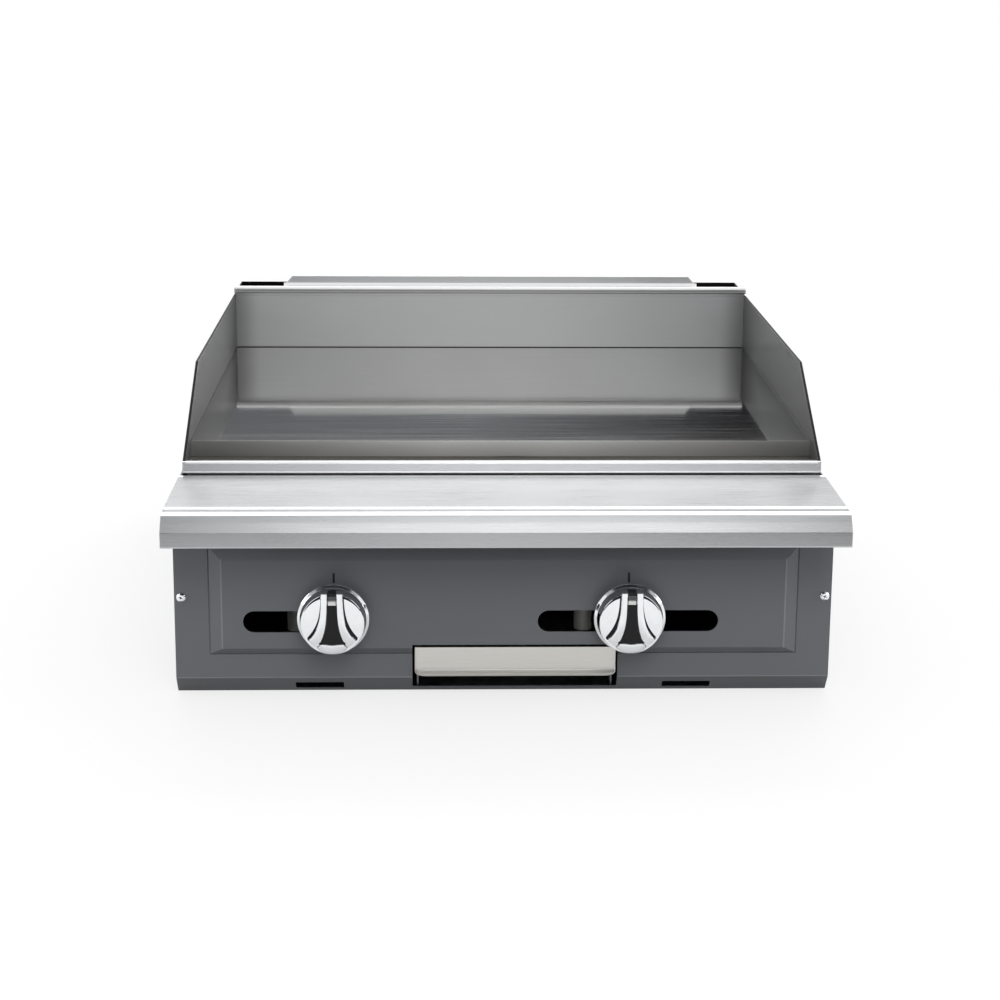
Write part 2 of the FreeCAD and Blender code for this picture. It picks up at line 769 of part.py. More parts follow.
# Tray front: a face sheet whose lower edge is bent forward as a pull
face = new_body("tray_front")
face_outline = [
    (tray_face_y, tray_face_high),
    (tray_face_y, tray_low + tray_lip_bend),
    (tray_face_y - tray_lip_out, tray_low),
    (tray_face_y - tray_lip_out + sheet, tray_low),
    (tray_front_y, tray_low + tray_lip_bend),
    (tray_front_y, tray_face_high),
]
prism(face, "YZ_Plane", tray_x - tray_face_half, tray_x + tray_face_half, [face_outline])

# Tray rails: folded angles on the base pan that carry and guide the tray
rail_front = lip_setback + sheet
for side, sign in SIDES.items():
    rail = new_body(f"tray_rail_{side}", x=tray_x)
    guide = rect(*span(sign, tray_half + slip, tray_half + slip + sheet), sheet, tray_high - rail_sink)
    prism(rail, "XZ_Plane", rail_front, tray_rear + rail_over, [guide])
    ledge_strip = rect(*span(sign, tray_half - rail_shelf, tray_half + slip),
                       tray_low - slip - sheet, tray_low - slip)
    prism(rail, "XZ_Plane", rail_front, tray_rear + rail_over, [ledge_strip])

# Burner supports: upright webs with a foot, drilled for the burner tubes
legs_x = [knob_x + offset for knob_x in KNOBS.values() for offset in (0, burner_spacing)]
for place, web_y in (("front", web_front), ("rear", web_rear)):
    support = new_body(f"burner_support_{place}")
    prism(support, "XZ_Plane", web_y, web_y + sheet, [rect(-inside, inside, shield_top, web_top)])
    foot = rect(-inside, inside, web_y, web_y + web_foot)
    prism(support, "XY_Plane", shield_top, shield_top + sheet, [foot])
    holes = [Disc(x, knob_z, burner_r + slip) for x in legs_x]
    prism(support, "XZ_Plane", web_y, web_y + sheet, holes, cut=True)

# Gas manifold along the front, its plug, and the supply line to the inlet at the back
manifold_right = supply_x - elbow_bend
supply_front = manifold_y + elbow_bend
manifold = pipe("X", (manifold_left, manifold_y, manifold_z), manifold_right - manifold_left,
                pipe_r, pipe_bore_r)
settle(manifold, "gas_manifold")
plug = rod("X", (manifold_left - plug_length, manifold_y, manifold_z), plug_length, elbow_r)
settle(fused([plug, rod("X", (manifold_left, manifold_y, manifold_z), plug_length, pipe_bore_r - play)]),
       "manifold_plug")


def quarter_bend(radius):
    piece = doc.addObject("Part::Torus", "bend")
    piece.Placement = Placement(Vector(), Rotation(Vector(0, 0, 1), -90))
    for letter, value in zip("xyz", (manifold_right, supply_front, manifold_z)):
        bind(piece, f"Placement.Base.{letter}", value)
    bind(piece, "Radius1", elbow_bend)
    bind(piece, "Radius2", radius)
    piece.Angle3 = 90
    return piece


settle(less(quarter_bend(elbow_r), quarter_bend(pipe_bore_r)), "supply_elbow")
supply = pipe("Y", (supply_x, supply_front, manifold_z), coupling_front - supply_front, pipe_r, pipe_bore_r)
settle(supply, "supply_pipe")
settle(pipe("Y", (supply_x, coupling_front, manifold_z), coupling_length, coupling_r, pipe_bore_r),
       "supply_coupling")
nipple_front = coupling_front + coupling_length
nipple_length = body_depth + inlet_reach - nipple_front
collar_length = body_depth + collar_proud - nipple_front
nipple = rod("Y", (supply_x, nipple_front, manifold_z), nipple_length, nipple_r)
collar = rod("Y", (supply_x, nipple_front, manifold_z), collar_length, collar_r)
nipple_bore = rod("Y", (supply_x, nipple_front, manifold_z), nipple_length, nipple_bore_r)
settle(less(fused([nipple, collar]), nipple_bore), "inlet_nipple")

# The burner sets, one behind each knob; their own X and Z start at the knob's axis
stem_bore_r = stem_r + play
knob_back = -field_rise - knob_gap
grip_front = knob_back - grip_rise
stem_front = grip_front + stem_end
channel_front = grip_front + channel_depth

for side, knob_x in KNOBS.items():
    at_knob = {"x": knob_x, "z": knob_z}
    at_pilot = {"x": knob_x - pilot_aside, "z": knob_z}

    # Valve body hung from the manifold, with a nose for the stem
    valve_block = block(-valve_half, valve_half, valve_front, valve_rear, -valve_half, valve_half)
    neck = rod("Z", (0, manifold_y, valve_half), manifold_up - valve_half, valve_neck_r)
    nose = rod("Y", (0, valve_front - valve_nose_length, 0), valve_nose_length, valve_neck_r)
    room_for_pipe = rod("X", (-valve_half, manifold_y, manifold_up), valve_half * 2, pipe_r + play)
    stem_bore = rod("Y", (0, valve_front - valve_nose_length, 0), valve_nose_length + stem_depth + slip,
                    stem_bore_r)
    valve = less(fused([valve_block, neck, nose]), fused([room_for_pipe, stem_bore]))
    settle(valve, f"gas_valve_{side}", **at_knob)

    # Valve stem, turning in the valve body, with a flat where the knob sits on it
    stem = rod("Y", (0, stem_front, 0), valve_front + stem_depth - stem_front, stem_r)
    flat = block(-stem_r, stem_r, stem_front, stem_front + stem_flat_length, stem_r - stem_flat, stem_r)
    settle(less(stem, flat), f"valve_stem_{side}", **at_knob)

    # Knob: round skirt, waisted grip and a tapered channel for its black insert
    knob = new_body(f"knob_{side}", **at_knob)
    skirt_top = knob_back - skirt_rise
    profile = new_sketch(knob, "YZ_Plane", 0)
    draw(profile, [
        (knob_back, stem_bore_r),
        (knob_back, knob_r),
        (skirt_top, knob_r),
        (skirt_top - skirt_cone, skirt_top_r),
        (skirt_top - skirt_cone, grip_r),
        (grip_front + grip_edge, grip_r),
        (grip_front, grip_r - grip_edge),
        (grip_front, stem_bore_r),
    ])
    turned = knob.newObject("PartDesign::Revolution", "turned")
    turned.Profile = profile
    turned.ReferenceAxis = (profile, ["H_Axis"])
    turned.Angle = 360
    for sign in SIDES.values():
        waist = [
            (sign * grip_top_half, grip_r),
            (sign * grip_low_half, -grip_r),
            (sign * knob_r, -grip_r),
            (sign * knob_r, grip_r),
        ]
        prism(knob, "XZ_Plane", grip_front, skirt_top - skirt_cone, [waist], cut=True)
    groove = [
        (-channel_top_half, grip_r),
        (channel_top_half, grip_r),
        (channel_low_half, -grip_r),
        (-channel_low_half, -grip_r),
    ]
    prism(knob, "XZ_Plane", grip_front, channel_front, [groove], cut=True)

    # Black insert lying in the knob's channel
    insert = new_body(f"knob_insert_{side}", **at_knob)
    insert_reach = grip_r - grip_edge
    insert_outline = [
        (insert_gap - channel_top_half, insert_reach),
        (channel_top_half - insert_gap, insert_reach),
        (channel_low_half - insert_gap * 2, -insert_reach),
        (insert_gap * 2 - channel_low_half, -insert_reach),
    ]
    prism(insert, "XZ_Plane", grip_front + insert_sink, channel_front, [insert_outline])

    # Orifice hood on the valve's outlet
    hexagon = doc.addObject("Part::Prism", "hexagon")
    hexagon.Polygon = 6
    hexagon.Placement = Placement(Vector(), TURNS["Y"])
    bind(hexagon, "Circumradius", orifice_hex_r)
    bind(hexagon, "Height", orifice_hex_length)
    bind(hexagon, "Placement.Base.y", valve_rear)
    tip_front = valve_rear + orifice_hex_length
    tip = rod("Y", (0, tip_front, 0), orifice_tip_length, orifice_tip_r)
    jet = rod("Y", (0, valve_rear, 0), orifice_hex_length + orifice_tip_length, orifice_bore_r)
    settle(less(fused([hexagon, tip]), jet), f"orifice_{side}", **at_knob)

    # Air shutter: a turning cap on the burner's mouth with two air windows
    cap_front = burner_mouth - shutter_gap - sheet
    cap_r = burner_r + shutter_wall
    cap = rod("Y", (0, cap_front, 0), shutter_length, cap_r)
    cap_bore = rod("Y", (0, cap_front + sheet, 0), shutter_length - sheet, burner_r + play)
    eye = rod("Y", (0, cap_front, 0), sheet, shutter_eye_r)
    window_x = (shutter_eye_r + burner_r) / 2
    windows = [rod("Y", (sign * window_x, cap_front, 0), sheet, shutter_window_r) for sign in SIDES.values()]
    settle(less(cap, fused([cap_bore, eye] + windows)), f"air_shutter_{side}", **at_knob)

    # Burner: a tube bent back on itself, closed at its far end, with flame ports on top
    burner = new_body(f"burner_{side}", **at_knob)
    bend_r = burner_spacing / 2
    run = [
        (0, burner_mouth),
        (0, burner_bend_y),
        (burner_spacing, burner_bend_y),
        (burner_spacing, burner_end),
    ]
    bent_tube(burner, "XY_Plane", 0, run, (bend_r, burner_bend_y), True,
              "XZ_Plane", (0, 0, -burner_mouth), burner_r, burner_r - burner_wall)
    stopper = Disc(burner_spacing, 0, burner_r)
    prism(burner, "XZ_Plane", burner_end - burner_wall, burner_end, [stopper])
    ports = prism(burner, "XY_Plane", as_size(0), burner_r * 2,
                  [Disc(0, port_first, port_r), Disc(burner_spacing, port_first, port_r)], cut=True)
    axes = {feature.Role: feature for feature in burner.Origin.OriginFeatures}
    row = burner.newObject("PartDesign::LinearPattern", "port_row")
    row.Originals = [ports]
    row.Direction = (axes["Y_Axis"], [""])
    bind(row, "Length", port_last - port_first)
    row.Occurrences = port_count
    burner.Tip = row

    # Pilot valve under the manifold, its tube and its head beside the burner
    outlet_rear = manifold_y + pilot_outlet_reach
    stalk = rod("Z", (0, manifold_y, pilot_outlet_z - pilot_valve_drop),
                manifold_up - pilot_outlet_z + pilot_valve_drop, pilot_valve_r)
    outlet = rod("Y", (0, manifold_y, pilot_outlet_z), pilot_outlet_reach, pilot_outlet_r)
    over_pipe = rod("X", (-valve_half, manifold_y, manifold_up), valve_half * 2, pipe_r + play)
    settle(less(fused([stalk, outlet]), over_pipe), f"pilot_valve_{side}", **at_pilot)

    tube = new_body(f"pilot_tube_{side}", **at_pilot)
    head_low = pilot_outlet_z + pilot_bend + pilot_rise
    run = [
        (outlet_rear, pilot_outlet_z),
        (burner_end - pilot_bend, pilot_outlet_z),
        (burner_end, pilot_outlet_z + pilot_bend),
        (burner_end, head_low),
    ]
    bent_tube(tube, "YZ_Plane", 0, run, (burner_end - pilot_bend, pilot_outlet_z + pilot_bend), False,
              "XZ_Plane", (0, pilot_outlet_z, -outlet_rear), pilot_tube_r, pilot_tube_r - pilot_tube_wall)

    head = rod("Z", (0, burner_end, head_low), pilot_head_length, pilot_head_r)
    hood = rod("Z", (0, burner_end, head_low + pilot_head_length), pilot_hood_thick,
               pilot_head_r + pilot_hood_over)
    settle(fused([head, hood]), f"pilot_burner_{side}", **at_pilot)


def screw(axis, seat, outward):
    """A pan-head screw: its head stands out from the seat and its shank runs the other way."""
    place = "XYZ".index(axis)
    head_start = list(seat)
    shank_start = list(seat)
    low_start = shank_start if outward > 0 else head_start
    low_start[place] = low_start[place] - (screw_reach if outward > 0 else screw_head_rise)
    head = rod(axis, head_start, screw_head_rise, screw_head_r)
    shank = rod(axis, shank_start, screw_reach, screw_r)
    return fused([head, shank])


# Screws of the control panel, of the flue riser and of the heat shield
front_seats = [(sign * panel_screw_x, as_size(0), screw_z) for sign in SIDES.values()]
settle(group([screw("Y", seat, -1) for seat in front_seats]), "panel_screws")
rear_seats = [(sign * rear_screw_x, body_depth, rear_screw_z) for sign in SIDES.values()]
settle(group([screw("Y", seat, 1) for seat in rear_seats]), "rear_screws")
side_seats = [(sign * half, y, side_screw_z) for sign in SIDES.values() for y in side_screw_ys]
settle(group([screw("X", seat, 1 if seat[0].value > 0 else -1) for seat in side_seats]), "side_screws")

doc.recompute()

faults = [thing.Name for thing in doc.Objects if {"Invalid", "Error"} & set(thing.State)]
for node in nodes:
    if node.Shape.isNull() or not node.Shape.isValid() or not node.Shape.Solids:
        faults.append(node.Label)
if faults:
    raise RuntimeError("not built: " + ", ".join(faults))

for node in nodes:
    node.Shape.exportStep(f"parts/{node.Label}.step")
    print(node.Label, len(node.Shape.Solids), round(node.Shape.Volume))
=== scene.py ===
import math

import bmesh
import bpy
from mathutils import Matrix, Vector


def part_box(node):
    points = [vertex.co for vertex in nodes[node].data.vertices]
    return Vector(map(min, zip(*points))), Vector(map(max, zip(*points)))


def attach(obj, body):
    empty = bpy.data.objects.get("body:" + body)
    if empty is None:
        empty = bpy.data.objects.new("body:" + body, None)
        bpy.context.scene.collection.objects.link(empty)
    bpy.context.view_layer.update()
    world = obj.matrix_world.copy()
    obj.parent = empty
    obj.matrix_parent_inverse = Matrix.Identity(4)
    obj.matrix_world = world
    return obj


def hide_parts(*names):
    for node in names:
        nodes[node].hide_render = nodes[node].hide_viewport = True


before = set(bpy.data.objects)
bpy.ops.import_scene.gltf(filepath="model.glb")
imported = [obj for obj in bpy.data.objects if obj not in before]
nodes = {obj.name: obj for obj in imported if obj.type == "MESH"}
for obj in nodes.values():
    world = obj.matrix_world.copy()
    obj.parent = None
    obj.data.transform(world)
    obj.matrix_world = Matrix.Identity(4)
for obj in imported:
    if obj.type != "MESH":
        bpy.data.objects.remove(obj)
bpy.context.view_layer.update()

# Inner sheets: base pan, heat shield, burner supports, tray rails, plate supports and ledge
# brackets, all pressed from galvanised steel and spot-welded or screwed into the body.
# The zinc coat shows pale spangles about a centimetre across.
MM = 0.001


def linear(code):
    """The linear colour, with alpha, of an sRGB hex value."""
    shares = [int(code[place:place + 2], 16) / 255 for place in (1, 3, 5)]
    plain = [share / 12.92 if share <= 0.04045 else ((share + 0.055) / 1.055) ** 2.4 for share in shares]
    return plain + [1.0]


def add(tree, kind, feeds, **settings):
    """Add a node; feeds gives its inputs, each a plain value or a socket to link from."""
    node = tree.nodes.new(kind)
    for name, value in settings.items():
        setattr(node, name, value)
    for socket, value in feeds.items():
        if isinstance(value, bpy.types.NodeSocket):
            tree.links.new(value, node.inputs[socket])
        else:
            node.inputs[socket].default_value = value
    return node


def new_material(name):
    """An empty material, its tree and the object coordinates that its patterns read."""
    material = bpy.data.materials.new(name)
    material.use_nodes = True
    material.node_tree.nodes.clear()
    place = add(material.node_tree, "ShaderNodeTexCoord", {}).outputs["Object"]
    return material, material.node_tree, place


def close_material(tree, feeds):
    """Give a material its surface: one shader with these inputs."""
    shader = add(tree, "ShaderNodeBsdfPrincipled", feeds)
    add(tree, "ShaderNodeOutputMaterial", {"Surface": shader.outputs["BSDF"]})


def coat(material, *names):
    """Give CAD nodes that stay in view their material."""
    for name in names:
        nodes[name].data.materials.clear()
        nodes[name].data.materials.append(material)


spangle_size = 9 * MM
galvanised, tree, place = new_material("galvanised_steel")
spangle = add(tree, "ShaderNodeTexVoronoi", {"Vector": place, "Scale": 1 / spangle_size})
tone = add(tree, "ShaderNodeMix", {0: spangle.outputs["Color"], 6: linear("#6d7174"), 7: linear("#888d90")},
           data_type="RGBA")
matt = add(tree, "ShaderNodeMapRange", {"Value": spangle.outputs["Color"], "To Min": 0.36, "To Max": 0.52})
close_material(tree, {"Base Color": tone.outputs[2], "Roughness": matt.outputs["Result"], "Metallic": 1.0})
coat(galvanised, "base_pan", "heat_shield", "burner_support_front", "burner_support_rear", "tray_rail_left",
     "tray_rail_right", "plate_support_left", "plate_support_right", "ledge_bracket_left",
     "ledge_bracket_right")

# Weld nuts for the legs: zinc-plated steel, welded to the base pan over its four bolt holes.
# Zinc plate is a bluish grey with a soft cloudy shine.
zinc_patch = 4 * MM


def mottled(name, patch, dark, pale, smooth, rough=None, metallic=1.0, detail=2.0, relief=0):
    """A finish whose tone drifts in patches from dark to pale and, where rough is given, its
    roughness from smooth to rough; relief is the height that the patches stand up."""
    material, tree, place = new_material(name)
    noise = add(tree, "ShaderNodeTexNoise", {"Vector": place, "Scale": 1 / patch, "Detail": detail})
    patches = noise.outputs["Fac"]
    tone = add(tree, "ShaderNodeMix", {0: patches, 6: linear(dark), 7: linear(pale)}, data_type="RGBA")
    feeds = {"Base Color": tone.outputs[2], "Roughness": smooth, "Metallic": metallic}
    if rough:
        matt = add(tree, "ShaderNodeMapRange", {"Value": patches, "To Min": smooth, "To Max": rough})
        feeds["Roughness"] = matt.outputs["Result"]
    if relief:
        bump = add(tree, "ShaderNodeBump", {"Height": patches, "Distance": relief})
        feeds["Normal"] = bump.outputs["Normal"]
    close_material(tree, feeds)
    return material


zinc = mottled("zinc_plate", zinc_patch, "#9fa4a8", "#c3c8cb", 0.22, 0.4, detail=3.0)
coat(zinc, "leg_nuts")

# Outer body: control panel, side panels and rear panel of 1.5 mm steel sheet, pressed and
# folded, then powder-coated dark grey: satin, with a fine orange peel, and painted paler in thin
# lines along the field's side bends and the foot fold as painted highlights. The panel's raised
# field has soft inner bends and a pressed crease round its foot.
edge_rounding = 0.5 * MM
field_rounding = 1.8 * MM
rounded_bend = math.radians(15)
shaded_bend = math.radians(32)
join_distance = 0.005 * MM
flat_bend = math.radians(0.5)
field_half = 273 * MM
field_low = 40.5 * MM
field_high = 145 * MM
field_rise = 5 * MM
field_inset = 12 * MM
field_slack = 0.1 * MM
sharp_bend = math.radians(45)
flat_area = 400 * MM * MM
crease_half = 0.7 * MM
crease_depth = 1.1 * MM
crease_lead = 1 * MM
fold_height = 17 * MM
highlight_half = 0.7 * MM
peel_size = 1.6 * MM
peel_height = 0.03 * MM
shade_size = 180 * MM


def bake(made):
    """Make an object's mesh what its modifiers give, and take them off."""
    whole = bpy.data.meshes.new_from_object(made.evaluated_get(bpy.context.evaluated_depsgraph_get()))
    made.modifiers.clear()
    made.data = whole
    whole.polygons.foreach_set("use_smooth", [True] * len(whole.polygons))
    whole.set_sharp_from_angle(angle=shaded_bend)


def into_object(name, shape, rounding=0, limit="ANGLE", cutters=()):
    """Make an object of a bmesh: edges rounded, holes cut, faces smooth, nothing left live."""
    bmesh.ops.recalc_face_normals(shape, faces=shape.faces)
    mesh = bpy.data.meshes.new(name)
    shape.to_mesh(mesh)
    shape.free()
    made = bpy.data.objects.new(name, mesh)
    bpy.context.scene.collection.objects.link(made)
    if rounding:
        bevel = made.modifiers.new("rounding", "BEVEL")
        bevel.width = rounding
        bevel.segments = 2
        bevel.limit_method = limit
        bevel.angle_limit = rounded_bend
    for cutter in cutters:
        hole = made.modifiers.new("hole", "BOOLEAN")
        hole.object = cutter
    bake(made)
    weights = made.modifiers.new("weights", "WEIGHTED_NORMAL")
    weights.keep_sharp = True
    weights.weight = 100
    bake(made)
    for cutter in cutters:
        bpy.data.objects.remove(cutter)
    return made


def merged(node):
    """A copy of a CAD node's mesh with its triangles joined into faces."""
    shape = bmesh.new()
    shape.from_mesh(nodes[node].data)
    bmesh.ops.remove_doubles(shape, verts=shape.verts, dist=join_distance)
    bmesh.ops.dissolve_limit(shape, angle_limit=flat_bend, verts=shape.verts, edges=shape.edges)
    return shape


def fit(made, material, body, slot, *replaced):
    """Give a piece its material and its body, and hide the CAD nodes it stands for; slot is not used."""
    made.data.materials.clear()
    made.data.materials.append(material)
    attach(made, body)
    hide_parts(*replaced)


def loft(shape, sections, closed=False):
    """Skin a row of closed sections, each with the same number of points; cap an open row."""
    rings = [[shape.verts.new(point) for point in section] for section in sections]
    pairs = list(zip(rings, rings[1:]))
    if closed:
        pairs.append((rings[-1], rings[0]))
    for ring, after in pairs:
        for place in range(len(ring)):
            shape.faces.new((ring[place - 1], ring[place], after[place], after[place - 1]))
    if not closed:
        shape.faces.new(rings[0])
        shape.faces.new(rings[-1])


field_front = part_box("control_panel")[0].y
panel_face = field_front + field_rise
powder_coat, tree, place = new_material("satin_powder_coat")
peel = add(tree, "ShaderNodeTexNoise", {"Vector": place, "Scale": 1 / peel_size, "Detail": 1.0})
shade = add(tree, "ShaderNodeTexNoise", {"Vector": place, "Scale": 1 / shade_size, "Detail": 2.0})
tone = add(tree, "ShaderNodeMix", {0: shade.outputs["Fac"], 6: linear("#65686c"), 7: linear("#6e7175")},
           data_type="RGBA")
apart = add(tree, "ShaderNodeSeparateXYZ", {"Vector": place}).outputs
aside = add(tree, "ShaderNodeMath", {0: apart["X"]}, operation="ABSOLUTE").outputs[0]
field_bend = (aside, field_half - field_inset, field_front)
foot_bend = (apart["Z"], fold_height, panel_face)
# Thin paler lines on the field's side bends and the foot fold are painted highlights.
highlight_lines = []
for along, line, front in (field_bend, foot_bend):
    at_line = add(tree, "ShaderNodeMath", {0: along, 1: line, 2: highlight_half}, operation="COMPARE")
    ahead = add(tree, "ShaderNodeMath", {0: apart["Y"], 1: front + highlight_half}, operation="LESS_THAN")
    both = add(tree, "ShaderNodeMath", {0: at_line.outputs[0], 1: ahead.outputs[0]}, operation="MULTIPLY")
    highlight_lines.append(both.outputs[0])
painted_highlight = add(tree, "ShaderNodeMath", {0: highlight_lines[0], 1: highlight_lines[1]}, operation="MAXIMUM")
tone = add(tree, "ShaderNodeMix", {0: painted_highlight.outputs[0], 6: tone.outputs[2], 7: linear("#85888d")},
           data_type="RGBA")
matt = add(tree, "ShaderNodeMapRange", {"Value": peel.outputs["Fac"], "To Min": 0.36, "To Max": 0.46})
bump = add(tree, "ShaderNodeBump", {"Height": peel.outputs["Fac"], "Distance": peel_height})
close_material(tree, {"Base Color": tone.outputs[2], "Roughness": matt.outputs["Result"],
                      "Normal": bump.outputs["Normal"]})
for node in ("left_side_panel", "right_side_panel", "rear_panel"):
    fit(into_object(f"{node}_coated", merged(node), edge_rounding), powder_coat, "frame", "body_paint", node)

crease = bmesh.new()
crease_section = ((-crease_half, -crease_lead), (crease_half, -crease_lead), (crease_half, 0),
                  (0, crease_depth), (-crease_half, 0))
crease_ring = [[(side * (field_half + out), panel_face + deep, end + rise * out)
                for out, deep in crease_section]
               for side, end, rise in ((-1, field_low, -1), (1, field_low, -1), (1, field_high, 1),
                                       (-1, field_high, 1))]
loft(crease, crease_ring, closed=True)
shape = merged("control_panel")
weight = shape.edges.layers.float.new("bevel_weight_edge")
for edge in shape.edges:
    bend = edge.calc_face_angle(0)
    at_front = all(abs(corner.co.y - field_front) < field_slack for corner in edge.verts)
    if bend > sharp_bend:
        edge[weight] = edge_rounding / field_rounding
    elif bend > rounded_bend and at_front:
        edge[weight] = 1
panel = into_object("control_panel_coated", shape, field_rounding, "WEIGHT",
                    [into_object("crease_cutter", crease)])
panel.data.attributes.remove(panel.data.attributes["custom_normal"])
for face in panel.data.polygons:
    face.use_smooth = face.area < flat_area
fit(panel, powder_coat, "frame", "body_paint", "control_panel")

# Index marks: one short black line above each knob, screen-printed on the panel's field.
# The ink lies a tenth of a millimetre thick and is matt beside the satin coat.
mark_half = 0.95 * MM
mark_low = 111 * MM
mark_high = 120.5 * MM
mark_thick = 0.12 * MM
ink_size = 0.8 * MM


def box_between(shape, low, high):
    """Add a block from its lowest to its highest corner."""
    ends = [[(x, low[1], low[2]), (x, high[1], low[2]), (x, high[1], high[2]), (x, low[1], high[2])]
            for x in (low[0], high[0])]
    loft(shape, ends)


black_ink = mottled("black_print", ink_size, "#0a0a0b", "#161617", 0.5, metallic=0.0)
shape = bmesh.new()
for side in ("left", "right"):
    low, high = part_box(f"knob_{side}")
    middle = (low.x + high.x) / 2
    box_between(shape, (middle - mark_half, field_front - mark_thick, mark_low),
                (middle + mark_half, field_front, mark_high))
fit(into_object("index_marks", shape), black_ink, "frame", "body_paint")

# Louvre hoods on the rear panel: one hood over each slot, pressed out of the sheet as a
# quarter round that opens downwards, and painted with the panel.
hood_reach = 5 * MM
hood_rise = 9 * MM
hood_over = 3 * MM
hood_wall = 1 * MM
hood_steps = 10
louvre_low = 60 * MM
louvre_width = 60 * MM
louvre_pitch = 80 * MM
louvre_count = 5


def new_tree(name, sizes):
    """A geometry tree with one named input for each size, and its group nodes."""
    tree = bpy.data.node_groups.new(name, "GeometryNodeTree")
    tree.interface.new_socket("Geometry", in_out="INPUT", socket_type="NodeSocketGeometry")
    tree.interface.new_socket("Geometry", in_out="OUTPUT", socket_type="NodeSocketGeometry")
    for size, kind in sizes.items():
        tree.interface.new_socket(size, in_out="INPUT", socket_type=kind)
    return tree, add(tree, "NodeGroupInput", {}).outputs


def grow(name, tree, points, values, turns=None):
    """Run a geometry tree on a row of points and keep the result as a plain mesh."""
    mesh = bpy.data.meshes.new(name)
    mesh.from_pydata(points, [], [])
    if turns:
        turn = mesh.attributes.new("turn", "FLOAT_VECTOR", "POINT")
        turn.data.foreach_set("vector", [number for one in turns for number in one])
    made = bpy.data.objects.new(name, mesh)
    bpy.context.scene.collection.objects.link(made)
    modifier = made.modifiers.new(name, "NODES")
    modifier.node_group = tree
    for item in tree.interface.items_tree:
        if item.in_out == "INPUT" and item.name in values:
            modifier[item.identifier] = values[item.name]
    bake(made)
    return made


tree, given = new_tree("louvre_hoods", {"Width": "NodeSocketFloat", "Rise": "NodeSocketFloat",
                                        "Reach": "NodeSocketFloat", "Paint": "NodeSocketMaterial"})
width_half = add(tree, "ShaderNodeMath", {0: given["Width"], 1: 0.5}, operation="MULTIPLY").outputs[0]
low_edge = add(tree, "ShaderNodeCombineXYZ", {"Y": given["Reach"]}).outputs[0]
crown = add(tree, "ShaderNodeCombineXYZ", {"Y": given["Reach"], "Z": given["Rise"]}).outputs[0]
top_edge = add(tree, "ShaderNodeCombineXYZ", {"Z": given["Rise"]}).outputs[0]
curve = add(tree, "GeometryNodeCurveQuadraticBezier",
            {"Resolution": hood_steps, "Start": low_edge, "Middle": crown, "End": top_edge}).outputs[0]
run_low = add(tree, "ShaderNodeMath", {0: width_half, 1: -1.0}, operation="MULTIPLY").outputs[0]
run_start = add(tree, "ShaderNodeCombineXYZ", {"X": run_low}).outputs[0]
run_end = add(tree, "ShaderNodeCombineXYZ", {"X": width_half}).outputs[0]
arc_mesh = add(tree, "GeometryNodeCurveToMesh", {"Curve": curve}).outputs[0]
moved = add(tree, "GeometryNodeTransform", {"Geometry": arc_mesh, "Translation": run_start}).outputs[0]
run = add(tree, "ShaderNodeVectorMath", {0: run_end, 1: run_start}, operation="SUBTRACT").outputs[0]
strip = add(tree, "GeometryNodeExtrudeMesh", {"Mesh": moved, "Offset": run, "Offset Scale": 1.0},
            mode="EDGES")
wall = add(tree, "GeometryNodeExtrudeMesh", {"Mesh": strip.outputs["Mesh"], "Offset Scale": hood_wall,
                                             "Individual": False}, mode="FACES").outputs["Mesh"]
placed = add(tree, "GeometryNodeInstanceOnPoints", {"Points": given["Geometry"], "Instance": wall}).outputs[0]
real = add(tree, "GeometryNodeRealizeInstances", {"Geometry": placed}).outputs[0]
painted = add(tree, "GeometryNodeSetMaterial", {"Geometry": real, "Material": given["Paint"]}).outputs[0]
add(tree, "NodeGroupOutput", {"Geometry": painted})
rear_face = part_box("rear_panel")[1].y
hood_places = [(louvre_pitch * (index - (louvre_count - 1) / 2), rear_face, louvre_low - hood_over / 2)
               for index in range(louvre_count)]
hoods = grow("louvre_hoods", tree, hood_places, {"Width": louvre_width + hood_over, "Rise": hood_rise,
                                                 "Reach": hood_reach, "Paint": powder_coat})
fit(hoods, powder_coat, "frame", "body_paint")

# Gas line: manifold, plug, elbow, supply pipe, coupling and the inlet nipple at the back,
# black malleable iron and steel pipe screwed together. The skin is matt, mill-black and
# faintly mottled.
mill_size = 3 * MM
mill_height = 0.1 * MM
black_pipe = mottled("black_iron_pipe", mill_size, "#1d1c1b", "#3b3936", 0.55, metallic=0.4, detail=4.0,
                     relief=mill_height)
coat(black_pipe, "gas_manifold", "manifold_plug", "supply_elbow", "supply_pipe", "supply_coupling",
     "inlet_nipple")

# Valves and orifice hoods: turned and milled brass, screwed into the manifold.
# The tool leaves a fine grain, and the brass has dulled a little.
tool_grain = 0.6 * MM
brass = mottled("turned_brass", tool_grain, "#a8874a", "#c9ab68", 0.22, 0.42)
for side in ("left", "right"):
    coat(brass, f"gas_valve_{side}", f"orifice_{side}")

# Pilot valves: small brass bodies screwed into the manifold, nickel-plated. One shows through
# the right lighting slot as a dull grey block, its plate clouded by heat.
heat_cloud = 5 * MM
nickel = mottled("satin_nickel_plate", heat_cloud, "#e4e3e0", "#f3f2f0", 0.6, 0.75, detail=3.0)
coat(nickel, "pilot_valve_left", "pilot_valve_right")

